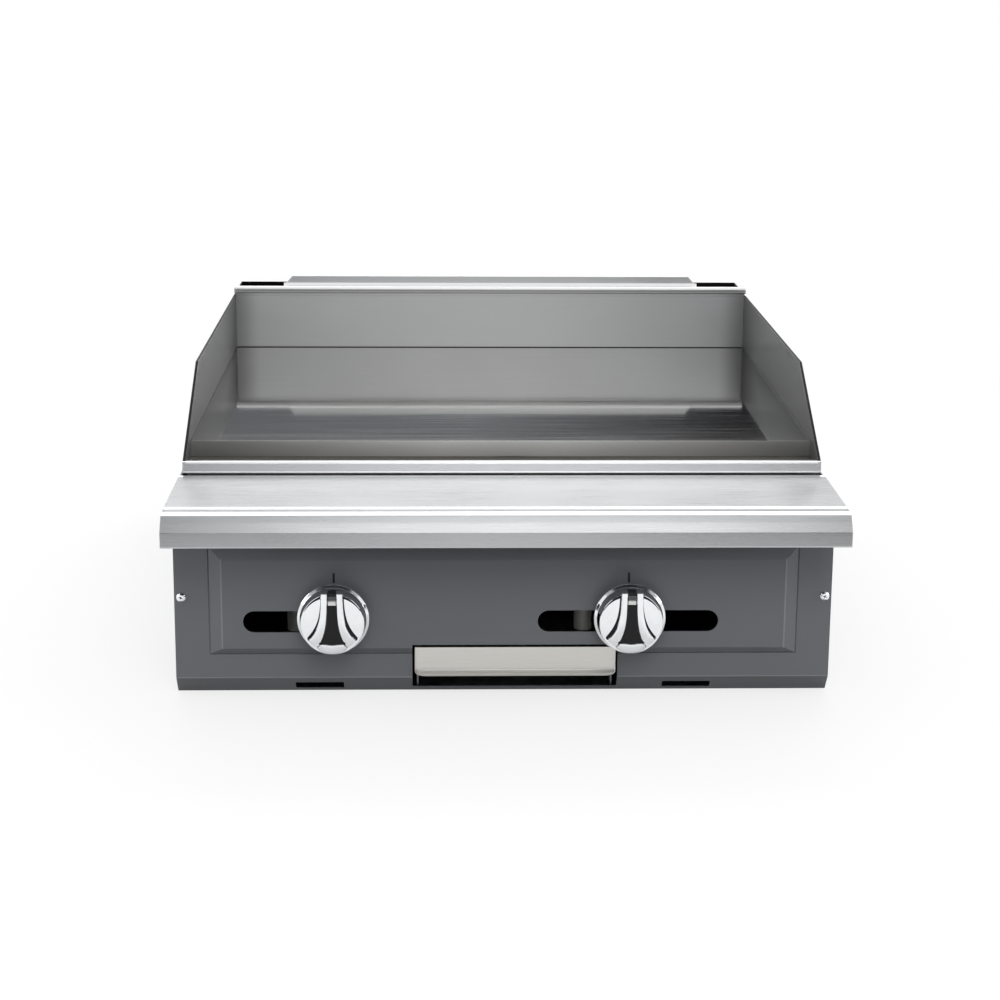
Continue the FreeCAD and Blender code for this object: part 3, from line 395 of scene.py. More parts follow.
# Burners, their air shutters, the pilot heads and the valve stems: aluminised steel tube and
# pressings, a dull silver that heat has tinted straw and blue in soft patches.
tint_size = 70 * MM
dull_size = 2 * MM
aluminised, tree, place = new_material("aluminised_steel")
tint = add(tree, "ShaderNodeTexNoise", {"Vector": place, "Scale": 1 / tint_size, "Detail": 2.0})
dull = add(tree, "ShaderNodeTexNoise", {"Vector": place, "Scale": 1 / dull_size, "Detail": 3.0})
tone = add(tree, "ShaderNodeMix", {0: tint.outputs["Fac"], 6: linear("#8b8f96"), 7: linear("#a3957e")},
           data_type="RGBA")
matt = add(tree, "ShaderNodeMapRange", {"Value": dull.outputs["Fac"], "To Min": 0.4, "To Max": 0.58})
close_material(tree, {"Base Color": tone.outputs[2], "Roughness": matt.outputs["Result"], "Metallic": 1.0})
for side in ("left", "right"):
    coat(aluminised, f"burner_{side}", f"air_shutter_{side}", f"pilot_burner_{side}", f"valve_stem_{side}")

# Pilot tubes: drawn aluminium, bent by hand from the pilot valve to the pilot head and held
# by a nut at each end. Drawing leaves it bright and faintly clouded.
draw_size = 1.2 * MM
tube_metal = mottled("drawn_aluminium", draw_size, "#b9bcbf", "#d3d5d7", 0.36)
coat(tube_metal, "pilot_tube_left", "pilot_tube_right")

# Griddle plate: 16 mm steel, ground and polished, resting on the plate supports. Polishing
# leaves it nearly a mirror, with long faint streaks along its width and a slow waviness; its tone
# is painted darker towards its right end as a painted dark reflection, and the sawn front edge is
# satin, painted paler in its middle as a painted highlight.
plate_edge_radius = 0.15 * MM
plate_under_radius = 1 * MM
streak_length = 140 * MM
streak_width = 1.5 * MM
wave_size = 90 * MM
wave_height = 0.03 * MM
sawn_from = 0.1 * MM
sawn_to = 0.4 * MM
sawn_matt = 0.45
edge_sheen_from = 0.2
edge_sheen_to = 0.9
dark_right_from = 60 * MM
dark_right_to = 270 * MM
dark_right_share = 0.5
darkest_right_from = 250 * MM
darkest_right_share = 0.8
arc_step = math.radians(10)


def rounded(corners, closed=False):
    """The points of a path through corners (u, v, radius), with its rounded corners as arcs."""
    points = []
    last = len(corners) - 1
    for place, (u, v, radius) in enumerate(corners):
        here = Vector((u, v))
        if not radius or (not closed and place in (0, last)):
            points.append(here)
            continue
        into = (here - Vector(corners[place - 1][:2])).normalized()
        onward = (Vector(corners[(place + 1) % len(corners)][:2]) - here).normalized()
        turn = math.atan2(into.x * onward.y - into.y * onward.x, into.dot(onward))
        aside = Vector((-into.y, into.x)) * math.copysign(radius, turn)
        start = here - into * radius * math.tan(abs(turn) / 2)
        steps = max(2, math.ceil(abs(turn) / arc_step))
        for step in range(steps + 1):
            points.append(start + aside - Matrix.Rotation(turn * step / steps, 2) @ aside)
    return points


def along_x(shape, outline, x_low, x_high):
    """Run a closed outline of (y, z) points from one X to another."""
    loft(shape, [[(x, *point) for point in outline] for x in (x_low, x_high)])


plate_steel, tree, place = new_material("polished_plate_steel")
streak_scale = (1 / streak_length, 1 / streak_width, 1 / streak_width)
scaled = add(tree, "ShaderNodeMapping", {"Vector": place, "Scale": streak_scale})
streak = add(tree, "ShaderNodeTexNoise", {"Vector": scaled.outputs[0], "Scale": 1.0, "Detail": 3.0})
wave = add(tree, "ShaderNodeTexNoise", {"Vector": place, "Scale": 1 / wave_size, "Detail": 1.0})
tone = add(tree, "ShaderNodeMix", {0: streak.outputs["Fac"], 6: linear("#8e8d89"), 7: linear("#a5a4a1")},
           data_type="RGBA")
matt = add(tree, "ShaderNodeMapRange", {"Value": streak.outputs["Fac"], "From Min": 0.3, "From Max": 0.7,
                                        "To Min": 0.02, "To Max": 0.1})
plate_low, plate_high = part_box("griddle_plate")
apart = add(tree, "ShaderNodeSeparateXYZ", {"Vector": place}).outputs
# The plate is painted darker towards its right end, a painted dark reflection.
dark_right = add(tree, "ShaderNodeMapRange", {"Value": apart["X"], "From Min": dark_right_from,
                                         "From Max": dark_right_to, "To Max": dark_right_share})
darkest_right = add(tree, "ShaderNodeMapRange", {"Value": apart["X"], "From Min": darkest_right_from,
                                         "From Max": plate_high.x, "To Max": darkest_right_share})
painted_dark_right = add(tree, "ShaderNodeMath", {0: dark_right.outputs["Result"], 1: darkest_right.outputs["Result"]},
            operation="MAXIMUM")
tone = add(tree, "ShaderNodeMix", {0: painted_dark_right.outputs[0], 6: tone.outputs[2], 7: linear("#565654")},
           data_type="RGBA")
aside = add(tree, "ShaderNodeMath", {0: apart["X"]}, operation="ABSOLUTE")
# The sawn front edge is painted paler in its middle, a painted highlight.
edge_sheen = add(tree, "ShaderNodeMapRange", {"Value": aside.outputs[0], "From Min": plate_high.x * edge_sheen_from,
                                           "From Max": plate_high.x * edge_sheen_to,
                                           "To Min": 1.0, "To Max": 0.0})
edge_tone = add(tree, "ShaderNodeMix", {0: edge_sheen.outputs["Result"], 6: linear("#a3a3a2"),
                                        7: linear("#e6e6e5")}, data_type="RGBA")
sawn = add(tree, "ShaderNodeMapRange", {"Value": apart["Y"], "From Min": plate_low.y + sawn_from,
                                        "From Max": plate_low.y + sawn_to, "To Min": 1.0, "To Max": 0.0})
tone = add(tree, "ShaderNodeMix", {0: sawn.outputs["Result"], 6: tone.outputs[2], 7: edge_tone.outputs[2]},
           data_type="RGBA")
matt = add(tree, "ShaderNodeMix", {0: sawn.outputs["Result"], 2: matt.outputs["Result"], 3: sawn_matt})
bump = add(tree, "ShaderNodeBump", {"Height": wave.outputs["Fac"], "Distance": wave_height})
close_material(tree, {"Base Color": tone.outputs[2], "Roughness": matt.outputs[0], "Metallic": 1.0,
                      "Normal": bump.outputs["Normal"]})
shape = bmesh.new()
plate_outline = [
    (plate_low.y, plate_low.z, plate_under_radius),
    (plate_high.y, plate_low.z, plate_under_radius),
    (plate_high.y, plate_high.z, 0),
    (plate_low.y, plate_high.z, plate_edge_radius),
]
along_x(shape, rounded(plate_outline, closed=True), plate_low.x, plate_high.x)
fit(into_object("griddle_plate_ground", shape), plate_steel, "frame", "plate_steel", "griddle_plate")

# Side splashes: 3 mm stainless plates welded to the plate's side edges, brushed front to back.
# Brushing draws short bright lines and spreads every reflection across them; the laser-cut
# edges keep a dark scale, and the rear corners and the foot are darkened as painted shade.
brush_length = 45 * MM
brush_width = 0.45 * MM
brush_height = 0.006 * MM
sheet_cloud = 120 * MM
cloud_share = 0.35
stain_and_shade_matt = 0.55
splash_rounding = 0.5 * MM
edge_margin = 0.25 * MM
corner_shade_depth = 240 * MM
corner_shade_share = 0.6
foot_shade_height = 60 * MM
foot_shade_share = 0.45


def brushed_stainless(name, grain, dark, pale, shine=(0.24, 0.36), stain_and_shade=None, stain_and_shade_tone="#2c2b2b"):
    """Stainless brushed along one axis, a little coarser than real so that it shows. Shine is its
    least and most roughness, and the darker tone's share comes from stain, which stands for real
    scale on cut edges and for painted shade elsewhere."""
    material, tree, place = new_material(name)
    scale = [1 / brush_length if axis == grain else 1 / brush_width for axis in "XYZ"]
    scaled = add(tree, "ShaderNodeMapping", {"Vector": place, "Scale": scale})
    lines = add(tree, "ShaderNodeTexNoise", {"Vector": scaled.outputs[0], "Scale": 1.0, "Detail": 2.0})
    cloud = add(tree, "ShaderNodeTexNoise", {"Vector": place, "Scale": 1 / sheet_cloud, "Detail": 2.0})
    mixed = add(tree, "ShaderNodeMix", {0: cloud_share, 2: lines.outputs["Fac"], 3: cloud.outputs["Fac"]})
    tone = add(tree, "ShaderNodeMix", {0: mixed.outputs[0], 6: linear(dark), 7: linear(pale)},
               data_type="RGBA").outputs[2]
    matt = add(tree, "ShaderNodeMapRange", {"Value": mixed.outputs[0], "From Min": 0.3, "From Max": 0.7,
                                            "To Min": shine[0], "To Max": shine[1]}).outputs["Result"]
    # The darker tone is real scale on cut edges and painted shade everywhere else.
    if stain_and_shade:
        share = stain_and_shade(tree, place)
        tone = add(tree, "ShaderNodeMix", {0: share, 6: tone, 7: linear(stain_and_shade_tone)},
                   data_type="RGBA").outputs[2]
        matt = add(tree, "ShaderNodeMix", {0: share, 2: matt, 3: stain_and_shade_matt}).outputs[0]
    bump = add(tree, "ShaderNodeBump", {"Height": lines.outputs["Fac"], "Distance": brush_height})
    close_material(tree, {"Base Color": tone, "Roughness": matt, "Metallic": 1.0,
                          "Normal": bump.outputs["Normal"]})
    return material


def edge_scale_and_shade(tree, place):
    """One on the splashes' cut edges, well between the sheet's faces, for their dark scale, and
    less in the rear corners and just above the plate, as painted shade."""
    apart = add(tree, "ShaderNodeSeparateXYZ", {"Vector": place})
    out = add(tree, "ShaderNodeMath", {0: apart.outputs["X"]}, operation="ABSOLUTE")
    middle = (splash_low.x + splash_high.x) / 2
    reach = (splash_high.x - splash_low.x) / 2 - edge_margin
    edge = add(tree, "ShaderNodeMath", {0: out.outputs[0], 1: middle, 2: reach}, operation="COMPARE")
    # The rear corners and the foot just above the plate are darkened as painted shade; the cut edges' dark
    # scale is real.
    corner = add(tree, "ShaderNodeMapRange", {"Value": apart.outputs["Y"],
                                              "From Min": splash_high.y - corner_shade_depth,
                                              "From Max": splash_high.y, "To Max": corner_shade_share},
                 interpolation_type="SMOOTHSTEP")
    foot_shade = add(tree, "ShaderNodeMapRange", {"Value": apart.outputs["Z"], "From Min": plate_high.z,
                                               "From Max": plate_high.z + foot_shade_height,
                                               "To Min": foot_shade_share, "To Max": 0.0})
    shaded = add(tree, "ShaderNodeMath", {0: corner.outputs["Result"], 1: foot_shade.outputs["Result"]},
                  operation="MAXIMUM")
    return add(tree, "ShaderNodeMath", {0: edge.outputs[0], 1: shaded.outputs[0]},
               operation="MAXIMUM").outputs[0]


splash_low, splash_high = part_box("right_splash")
stainless_deep = brushed_stainless("stainless_brushed_front_to_back", "Y", "#a6a7a7", "#babbbc",
                                   stain_and_shade=edge_scale_and_shade)
for node in ("left_splash", "right_splash"):
    splash = into_object(f"{node}_brushed", merged(node), splash_rounding)
    fit(splash, stainless_deep, "frame", "stainless", node)

# Back splash: a 3 mm stainless plate welded to the plate's rear edge, brushed along its
# width, with a hem rolled forward along its top over a narrow strip. The hem is painted paler as a
# painted highlight, with a painted shadow line under its bead and thinner painted shade below it,
# and the splash's ends are darkened as painted shade.
corner_depth = 30 * MM
corner_share = 0.42
hem_reach = 4 * MM
hem_rise = 8 * MM
strip_drop = 3 * MM
strip_out = 0.9 * MM
strip_radius = 0.5 * MM
splash_thick = 3 * MM
hem_slope = 2.2 * MM
shadow_drop = 4.3 * MM
shadow_half = 0.75 * MM
shadow_share = 0.55
below_shade_share = 0.3
hem_top_radius = 1 * MM
hem_low_radius = 2 * MM
hem_back_radius = 1.2 * MM
hem_end_gap = 1.5 * MM


def corners(tree, place):
    """The share of painted shade near the back splash's ends."""
    apart = add(tree, "ShaderNodeSeparateXYZ", {"Vector": place})
    out = add(tree, "ShaderNodeMath", {0: apart.outputs["X"]}, operation="ABSOLUTE")
    return add(tree, "ShaderNodeMapRange", {"Value": out.outputs[0], "From Min": plate_high.x - corner_depth,
                                            "From Max": plate_high.x, "To Max": corner_share},
               interpolation_type="SMOOTHSTEP").outputs["Result"]


dull_shine = (0.28, 0.42)
stainless = brushed_stainless("stainless_brushed_across", "X", "#d3d4d5", "#e4e5e6", dull_shine)
# The back splash's ends are darkened as painted shade.
shaded_stainless = brushed_stainless("stainless_shaded_at_corners", "X", "#d3d4d5", "#e4e5e6", dull_shine,
                                      corners)
back_low, back_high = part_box("back_splash")
splash_half = plate_high.x
front_face = back_high.y - splash_thick
hem_low = back_high.z - hem_rise
shape = bmesh.new()
panel_outline = [(front_face, back_low.z), (back_high.y, back_low.z), (back_high.y, hem_low),
                 (front_face, hem_low)]
along_x(shape, panel_outline, -splash_half, splash_half)
strip_outline = [
    (front_face - strip_out, hem_low - strip_drop, strip_radius),
    (front_face + strip_out, hem_low - strip_drop, 0),
    (front_face + strip_out, hem_low + strip_out, 0),
    (front_face - strip_out, hem_low + strip_out, 0),
]
along_x(shape, rounded(strip_outline, closed=True), -splash_half, splash_half)
hem_outline = [
    (front_face - hem_reach, hem_low, hem_low_radius),
    (back_high.y, hem_low, 0),
    (back_high.y, back_high.z, hem_back_radius),
    (front_face - hem_reach + hem_slope, back_high.z, hem_top_radius),
    (front_face - hem_reach, back_high.z - hem_slope, hem_top_radius),
]
fit(into_object("back_splash_folded", shape), shaded_stainless, "frame", "stainless", "back_splash")


def shadow_under_bead(tree, place):
    """The share of painted shadow: thick along a line under the hem's bead, thin below it."""
    height = add(tree, "ShaderNodeSeparateXYZ", {"Vector": place}).outputs["Z"]
    line = add(tree, "ShaderNodeMath", {0: height, 1: back_high.z - shadow_drop, 2: shadow_half},
               operation="COMPARE")
    below = add(tree, "ShaderNodeMath", {0: height, 1: back_high.z - shadow_drop}, operation="LESS_THAN")
    thick = add(tree, "ShaderNodeMath", {0: line.outputs[0], 1: shadow_share}, operation="MULTIPLY")
    thin = add(tree, "ShaderNodeMath", {0: below.outputs[0], 1: below_shade_share}, operation="MULTIPLY")
    return add(tree, "ShaderNodeMath", {0: thick.outputs[0], 1: thin.outputs[0]},
               operation="MAXIMUM").outputs[0]


# The hem's stainless is painted paler as a painted highlight, with a painted shadow line under its bead and
# thinner painted shade below it.
painted_bright_stainless = brushed_stainless("stainless_painted_bright", "X", "#e8e9ea", "#f3f3f4", stain_and_shade=shadow_under_bead)
shape = bmesh.new()
along_x(shape, rounded(hem_outline, closed=True), back_low.x + hem_end_gap, back_high.x - hem_end_gap)
fit(into_object("back_splash_hem", shape), painted_bright_stainless, "frame", "stainless")

# Weld coves: the welds that join the plate to its three splashes, ground to a hollow so that
# nothing catches there. Grinding by hand leaves them duller and darker than the sheets.
cove_radius = 0.9 * MM
grinding_size = 1.5 * MM
cove_steps = 6
cove_sink = 0.3 * MM


def cove_points():
    """The section of a cove as (out from the wall, up from the plate) points."""
    arc = [math.pi / 2 * step / cove_steps for step in range(cove_steps + 1)]
    hollow = [(cove_radius * (1 - math.cos(turn)), cove_radius * (1 - math.sin(turn))) for turn in arc]
    return hollow + [(cove_radius, -cove_sink), (-cove_sink, -cove_sink), (-cove_sink, cove_radius)]


ground_weld = mottled("ground_weld", grinding_size, "#3c3c3b", "#4e4e4d", 0.4, 0.6, detail=3.0)
shape = bmesh.new()
cove = cove_points()
loft(shape, [[(x, front_face - out, plate_high.z + up) for out, up in cove]
             for x in (plate_low.x, plate_high.x)])
for side, wall in ((1, plate_low.x), (-1, plate_high.x)):
    loft(shape, [[(wall + side * out, y, plate_high.z + up) for out, up in cove]
                 for y in (plate_low.y, front_face)])
fit(into_object("weld_coves", shape), ground_weld, "frame", "stainless")

# Grease trough: a stainless channel in front of the plate. Its front band is folded over the
# top and hemmed below, and a round hole in its floor drains into the chute. It is painted paler
# than the splashes as a painted highlight, and its faces behind the flange darker as painted shade.
trough_sheet = 1.5 * MM
band_return = 7 * MM
band_height = 11.5 * MM
band_radius = 2.4 * MM
flange_depth = 10.8 * MM
floor_radius = 3 * MM
drain_radius = 15.5 * MM
drill_depth = 10 * MM
drill_sides = 48
wall_sink = 0.3 * MM
bead_out = 0.8 * MM
bead_in = 0.4 * MM
bead_over = 2.2 * MM
bead_flat = 1.2 * MM
bead_radius = 0.5 * MM
shade_behind_from = 8 * MM
shade_behind_to = 10 * MM
flange_fall = 1.3 * MM
mitre_least = 0.3


def beside(path, distance):
    """The path moved sideways, to its right as seen along it."""
    moved = []
    for place, point in enumerate(path):
        before = path[max(place - 1, 0)]
        after = path[min(place + 1, len(path) - 1)]
        ways = [way.normalized() for way in (point - before, after - point) if way.length]
        sides = [Vector((way.y, -way.x)) for way in ways]
        aside = sum(sides, Vector((0, 0))).normalized()
        moved.append(point + aside * distance / max(aside.dot(sides[0]), mitre_least))
    return moved


def sheet_outline(path, thickness):
    """The closed outline of a sheet that follows a path and lies on its right."""
    return path + beside(path, thickness)[::-1]


trough_low, trough_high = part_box("grease_trough")
band_low = trough_high.z - band_height
flange_rear = trough_low.y + flange_depth
rear_wall = trough_high.y - trough_sheet
shape = bmesh.new()
trough_path = rounded([
    (trough_low.y + band_return, band_low, 0),
    (trough_low.y, band_low, band_radius),
    (trough_low.y, trough_high.z, band_radius),
    (flange_rear, trough_high.z - flange_fall, band_radius),
    (flange_rear, trough_low.z + trough_sheet, floor_radius),
    (rear_wall, trough_low.z + trough_sheet, floor_radius),
    (rear_wall, plate_low.z, 0),
])
along_x(shape, sheet_outline(trough_path, trough_sheet), plate_low.x, plate_high.x)
band_path = rounded([
    (trough_low.y + trough_sheet, band_low, 0),
    (trough_low.y, band_low, band_radius / 2),
    (trough_low.y, trough_high.z, band_radius / 2),
    (trough_low.y + trough_sheet, trough_high.z, 0),
])
for near, far in ((trough_low.x, plate_low.x), (plate_high.x, trough_high.x)):
    along_x(shape, band_path, near, far)
hem_bead = [
    (trough_low.y - bead_out, band_low, bead_radius),
    (trough_low.y + bead_in, band_low, 0),
    (trough_low.y + bead_in, band_low + bead_over, 0),
    (trough_low.y, band_low + bead_over, 0),
    (trough_low.y - bead_out, band_low + bead_flat, bead_radius),
]
along_x(shape, rounded(hem_bead, closed=True), trough_low.x, trough_high.x)
for near, far in ((plate_low.x, plate_low.x + trough_sheet), (plate_high.x - trough_sheet, plate_high.x)):
    box_between(shape, (near, flange_rear - wall_sink, trough_low.z + wall_sink),
                (far, trough_high.y - wall_sink, plate_low.z - wall_sink))
chute_low, chute_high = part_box("drain_chute")
chute_middle = (chute_low + chute_high) / 2
drill = bmesh.new()
bmesh.ops.create_cone(drill, cap_ends=True, segments=drill_sides, radius1=drain_radius, radius2=drain_radius,
                      depth=drill_depth, matrix=Matrix.Translation((*chute_middle.xy, trough_low.z)))
drill_piece = into_object("drain_drill", drill)


def shaded_behind_flange(tree, place):
    """Rises to one over the trough's flange; the faces behind it take painted shade."""
    depth = add(tree, "ShaderNodeSeparateXYZ", {"Vector": place}).outputs["Y"]
    return add(tree, "ShaderNodeMapRange", {"Value": depth, "From Min": trough_low.y + shade_behind_from,
                                            "From Max": trough_low.y + shade_behind_to}).outputs["Result"]


# The trough's stainless is painted paler than the splashes as a painted highlight, and darker behind the
# flange as painted shade.
trough_stainless = brushed_stainless("stainless_shaded_inside", "X", "#eeeff0", "#f8f8f9", stain_and_shade=shaded_behind_flange,
                                     stain_and_shade_tone="#a3a19c")
trough = into_object("grease_trough_folded", shape, cutters=[drill_piece])
fit(trough, trough_stainless, "frame", "stainless", "grease_trough")
coat(trough_stainless, "drain_chute")

# Flue riser and deflector behind the back splash: stainless sheet, folded and screwed to the
# rear panel; the deflector leaves an open flue at each end. The riser's inner faces are painted
# nearly black as painted shade.
flue_rounding = 0.4 * MM
foot_reach_out = 3 * MM
foot_rise = 3.5 * MM
foot_sink = 0.9 * MM
flue_sheet = 1.5 * MM


def shaded_inside_riser(tree, place):
    """One on the riser's inner faces, within its cheeks and before its rear wall."""
    apart = add(tree, "ShaderNodeSeparateXYZ", {"Vector": place})
    out = add(tree, "ShaderNodeMath", {0: apart.outputs["X"]}, operation="ABSOLUTE")
    within = add(tree, "ShaderNodeMath", {0: out.outputs[0], 1: riser_high.x - flue_sheet / 2},
                 operation="LESS_THAN")
    before = add(tree, "ShaderNodeMath", {0: apart.outputs["Y"], 1: riser_high.y - flue_sheet / 2},
                 operation="LESS_THAN")
    return add(tree, "ShaderNodeMath", {0: within.outputs[0], 1: before.outputs[0]},
               operation="MULTIPLY").outputs[0]


riser_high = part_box("flue_riser")[1]
# The riser's inner faces are painted nearly black as painted shade.
dark_inside_stainless = brushed_stainless("stainless_dark_inside", "X", "#b9babb", "#cbcccd", stain_and_shade=shaded_inside_riser,
                                     stain_and_shade_tone="#191817")
for node, metal in (("flue_riser", dark_inside_stainless), ("flue_deflector", stainless)):
    fit(into_object(f"{node}_folded", merged(node), flue_rounding), metal, "frame", "stainless", node)
deflector_low, deflector_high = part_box("flue_deflector")
foot_rear = deflector_high.y - flue_sheet
foot_low = back_high.z - foot_sink
foot_outline = [(foot_rear - foot_reach_out, foot_low), (foot_rear, foot_low),
                (foot_rear, foot_low + foot_rise)]
shape = bmesh.new()
along_x(shape, foot_outline, deflector_low.x, deflector_high.x)
# The deflector's bend takes the paler stainless, a painted highlight.
fit(into_object("flue_deflector_bend", shape), painted_bright_stainless, "frame", "stainless")

# Front ledge: one stainless sheet with a small upturned rear edge, a pressed groove near the
# front and a nose folded in four bends, its ends closed by welded plates. It is brushed
# along its width, finer and paler than the splashes.
ledge_sheet = 1.5 * MM
rear_turn_up = 1.2 * MM
rear_turn_wide = 2.5 * MM
rear_edge_up = 0.6 * MM
groove_back = 28.5 * MM
groove_deep = 1 * MM
groove_wide = 3.2 * MM
brow_back = 16.5 * MM
nose_slope = 9.6 * MM
nose_drop = 1.5 * MM
belly_in = 5 * MM
belly_up = 7.4 * MM
ridge_up = 14.3 * MM
nose_return = 18 * MM
soft_bend = 1.2 * MM
top_bend = 2.4 * MM
belly_bend = 40 * MM
nose_bend = 1.6 * MM
end_sink = 0.2 * MM
ledge_stainless = brushed_stainless("stainless_brushed_fine", "X", "#b8b9ba", "#cacbcc")
ledge_low, ledge_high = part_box("front_ledge")
flat_top = ledge_high.z - rear_turn_up
groove = ledge_low.y + groove_back
ridge = ledge_low.z + ridge_up
nose_path = [
    (ledge_low.y + nose_return, ledge_low.z, 0),
    (ledge_low.y, ledge_low.z, nose_bend),
    (ledge_low.y, ridge, nose_bend),
    (ledge_low.y + belly_in, ridge + belly_up, belly_bend),
    (ledge_low.y + nose_slope, flat_top - nose_drop, top_bend),
]
top_path = [
    (ledge_low.y + brow_back, flat_top, soft_bend),
    (groove, flat_top - groove_deep, soft_bend),
    (groove + groove_wide, flat_top, soft_bend),
    (ledge_high.y - rear_turn_wide, flat_top, soft_bend),
    (ledge_high.y, flat_top + rear_edge_up, 0),
]
shape = bmesh.new()
along_x(shape, sheet_outline(rounded(nose_path + top_path), ledge_sheet), ledge_low.x, ledge_high.x)
nose_end = beside(rounded(nose_path + [(groove, flat_top - ledge_sheet, 0)]), ledge_sheet / 2)
for near, far in ((ledge_low.x + end_sink, ledge_low.x + ledge_sheet),
                  (ledge_high.x - ledge_sheet, ledge_high.x - end_sink)):
    along_x(shape, nose_end, near, far)
fit(into_object("front_ledge_folded", shape), ledge_stainless, "frame", "stainless", "front_ledge")

# Drip tray: a folded stainless box that slides on the rails, and its face sheet, whose lower
# edge is bent forward as a pull, rolled under, and has rounded corners. The satin finish is
# slightly warm, and the pull's lower band is painted darker as painted shade.
tray_sheet = 1.5 * MM
lip_rise = 6.2 * MM
lip_reach = 5 * MM
lip_bend = 4 * MM
lip_roll = 1.6 * MM
lip_under = 3 * MM
lip_edge_up = 1 * MM
lip_end_cut = 0.7
lip_corner = 10 * MM
corner_steps = 9
side_roll = 2 * MM
lip_shade_from = 0.7
lip_shade_to = 1.1
tray_rounding = 0.35 * MM
satin_size = 0.7 * MM
satin_length = 30 * MM
tray_steel, tree, place = new_material("satin_stainless")
satin_scale = (1 / satin_length, 1 / satin_size, 1 / satin_size)
scaled = add(tree, "ShaderNodeMapping", {"Vector": place, "Scale": satin_scale})
satin = add(tree, "ShaderNodeTexNoise", {"Vector": scaled.outputs[0], "Scale": 1.0, "Detail": 2.0})
tone = add(tree, "ShaderNodeMix", {0: satin.outputs["Fac"], 6: linear("#d6d4ce"), 7: linear("#e4e2dd")},
           data_type="RGBA")
face_low, face_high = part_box("tray_front")
height = add(tree, "ShaderNodeSeparateXYZ", {"Vector": place}).outputs["Z"]
# The pull's lower band is painted darker as painted shade.
lip_shade = add(tree, "ShaderNodeMapRange", {"Value": height,
                                           "From Min": face_low.z + lip_rise * lip_shade_from,
                                           "From Max": face_low.z + lip_rise * lip_shade_to,
                                           "To Min": 1.0, "To Max": 0.0})
tone = add(tree, "ShaderNodeMix", {0: lip_shade.outputs["Result"], 6: tone.outputs[2], 7: linear("#c0beb8")},
           data_type="RGBA")
matt = add(tree, "ShaderNodeMapRange", {"Value": satin.outputs["Fac"], "To Min": 0.34, "To Max": 0.5})
close_material(tree, {"Base Color": tone.outputs[2], "Roughness": matt.outputs["Result"], "Metallic": 1.0})
tray_box = into_object("drip_tray_folded", merged("drip_tray"), tray_rounding)
fit(tray_box, tray_steel, "tray", "tray_steel", "drip_tray")
face_plane = face_low.y + lip_reach
shape = bmesh.new()
sections = []
bend = Vector((face_plane, face_low.z + lip_rise))
lip_corners = [(face_low.y + lip_under, face_low.z, 0), (face_low.y, face_low.z + lip_edge_up, lip_roll)]
for end, sign in ((face_low.x, 1), (face_high.x, -1)):
    steps = range(corner_steps + 1) if sign > 0 else range(corner_steps, -1, -1)
    for step in steps:
        angle = math.pi / 2 * step / corner_steps
        inset = (1 - math.cos(angle)) * lip_corner
        left = 1 - lip_end_cut * (1 - math.sin(angle))
        lip = [(*(bend + (Vector((y, z)) - bend) * left), radius * left) for y, z, radius in lip_corners]
        path = rounded(lip + [(*bend, lip_bend * left), (face_plane, face_high.z, 0)])
        short = max(side_roll - inset, 0)
        back = side_roll - math.sqrt(side_roll ** 2 - short ** 2)
        sections.append([(end + sign * inset, y + back, z) for y, z in sheet_outline(path, tray_sheet)])
loft(shape, sections)
fit(into_object("tray_front_bent", shape), tray_steel, "tray", "tray_steel", "tray_front")

# Knobs: die-cast and chromed to a faintly smeared mirror, a dished skirt with a flat face and
# two ridges that flare downwards and meet in a lip. Between them lies a moulded black insert,
# finely grained, with a white index bar; black films beside each ridge and along the face's upper
# edge are painted shadow lines.
rim_profile = [(32.4, 0), (33, 0.5), (33, 1.5), (32.8, 1.8), (30.7, 3.4), (30.3, 3.9), (29.2, 14.6),
               (29, 15.2), (28.6, 15.5)]
ring_steps = 72
face_at = 15.4 * MM
face_reach = 28.5 * MM
ridge_rows = 36
ridge_top = 31.2 * MM
ridge_foot = -21.5 * MM
top_reach = 32.8 * MM
foot_reach = 25.4 * MM
flare_from = 54.5 * MM
flare_power = 3.6
ridge_half = 10 * MM
ridge_flare = 24 * MM
channel_half = 4 * MM
channel_flare = 10.5 * MM
crest_at = 24 * MM
crest_fall = 5 * MM
fall_from = 0.5
crest_outside = [(0, 1.8), (0.35, 0.8), (1.1, 0.2)]
crest_inside = [(0.8, 0.3), (0.2, 1.0)]
floor_at = 19 * MM
lip_radius = 23 * MM
lip_half_angle = math.radians(31)
lip_steps = 16
lip_taper = 0.35
lip_section = [(-5.4, 15), (-5.4, 20.4), (-4.6, 21.4), (-2.5, 21.7), (1.2, 20.9), (4.2, 18.6), (5.8, 15.4),
               (6.2, 12.6), (5.4, 9)]
insert_at = 21.6 * MM
insert_foot = -18.2 * MM
insert_depth = 8 * MM
insert_gap = 0.1 * MM
dish_depth = 0.7 * MM
dish_share = 0.5
bar_low = 20 * MM
bar_high = 24 * MM
bar_half = 3.5 * MM
bar_proud = 0.3 * MM
bar_sink = 1 * MM
bar_rounding = 0.2 * MM
wedge_low = 25.3 * MM
wedge_high = 28.2 * MM
wedge_sink = 2 * MM
wedge_rise = 2.6 * MM
wedge_drop = 0.4 * MM
shadow_film_thick = 0.3 * MM
shadow_film_width = 0.5 * MM
shadow_film_widening = 1.7 * MM
shadow_film_least = 0.2 * MM
shadow_film_foot = -17 * MM
arc_from = math.radians(71)
arc_to = math.radians(26)
arc_steps = 12
arc_width = 2.4 * MM
arc_narrowing = 2 * MM
smear_size = 6 * MM
grain_size = 0.5 * MM
grain_height = 0.02 * MM
coverage_size = 1 * MM


def flare(height):
    """The share of the grip's flare that is reached at a height above the knob's axis."""
    return ((ridge_top - height) / flare_from) ** flare_power


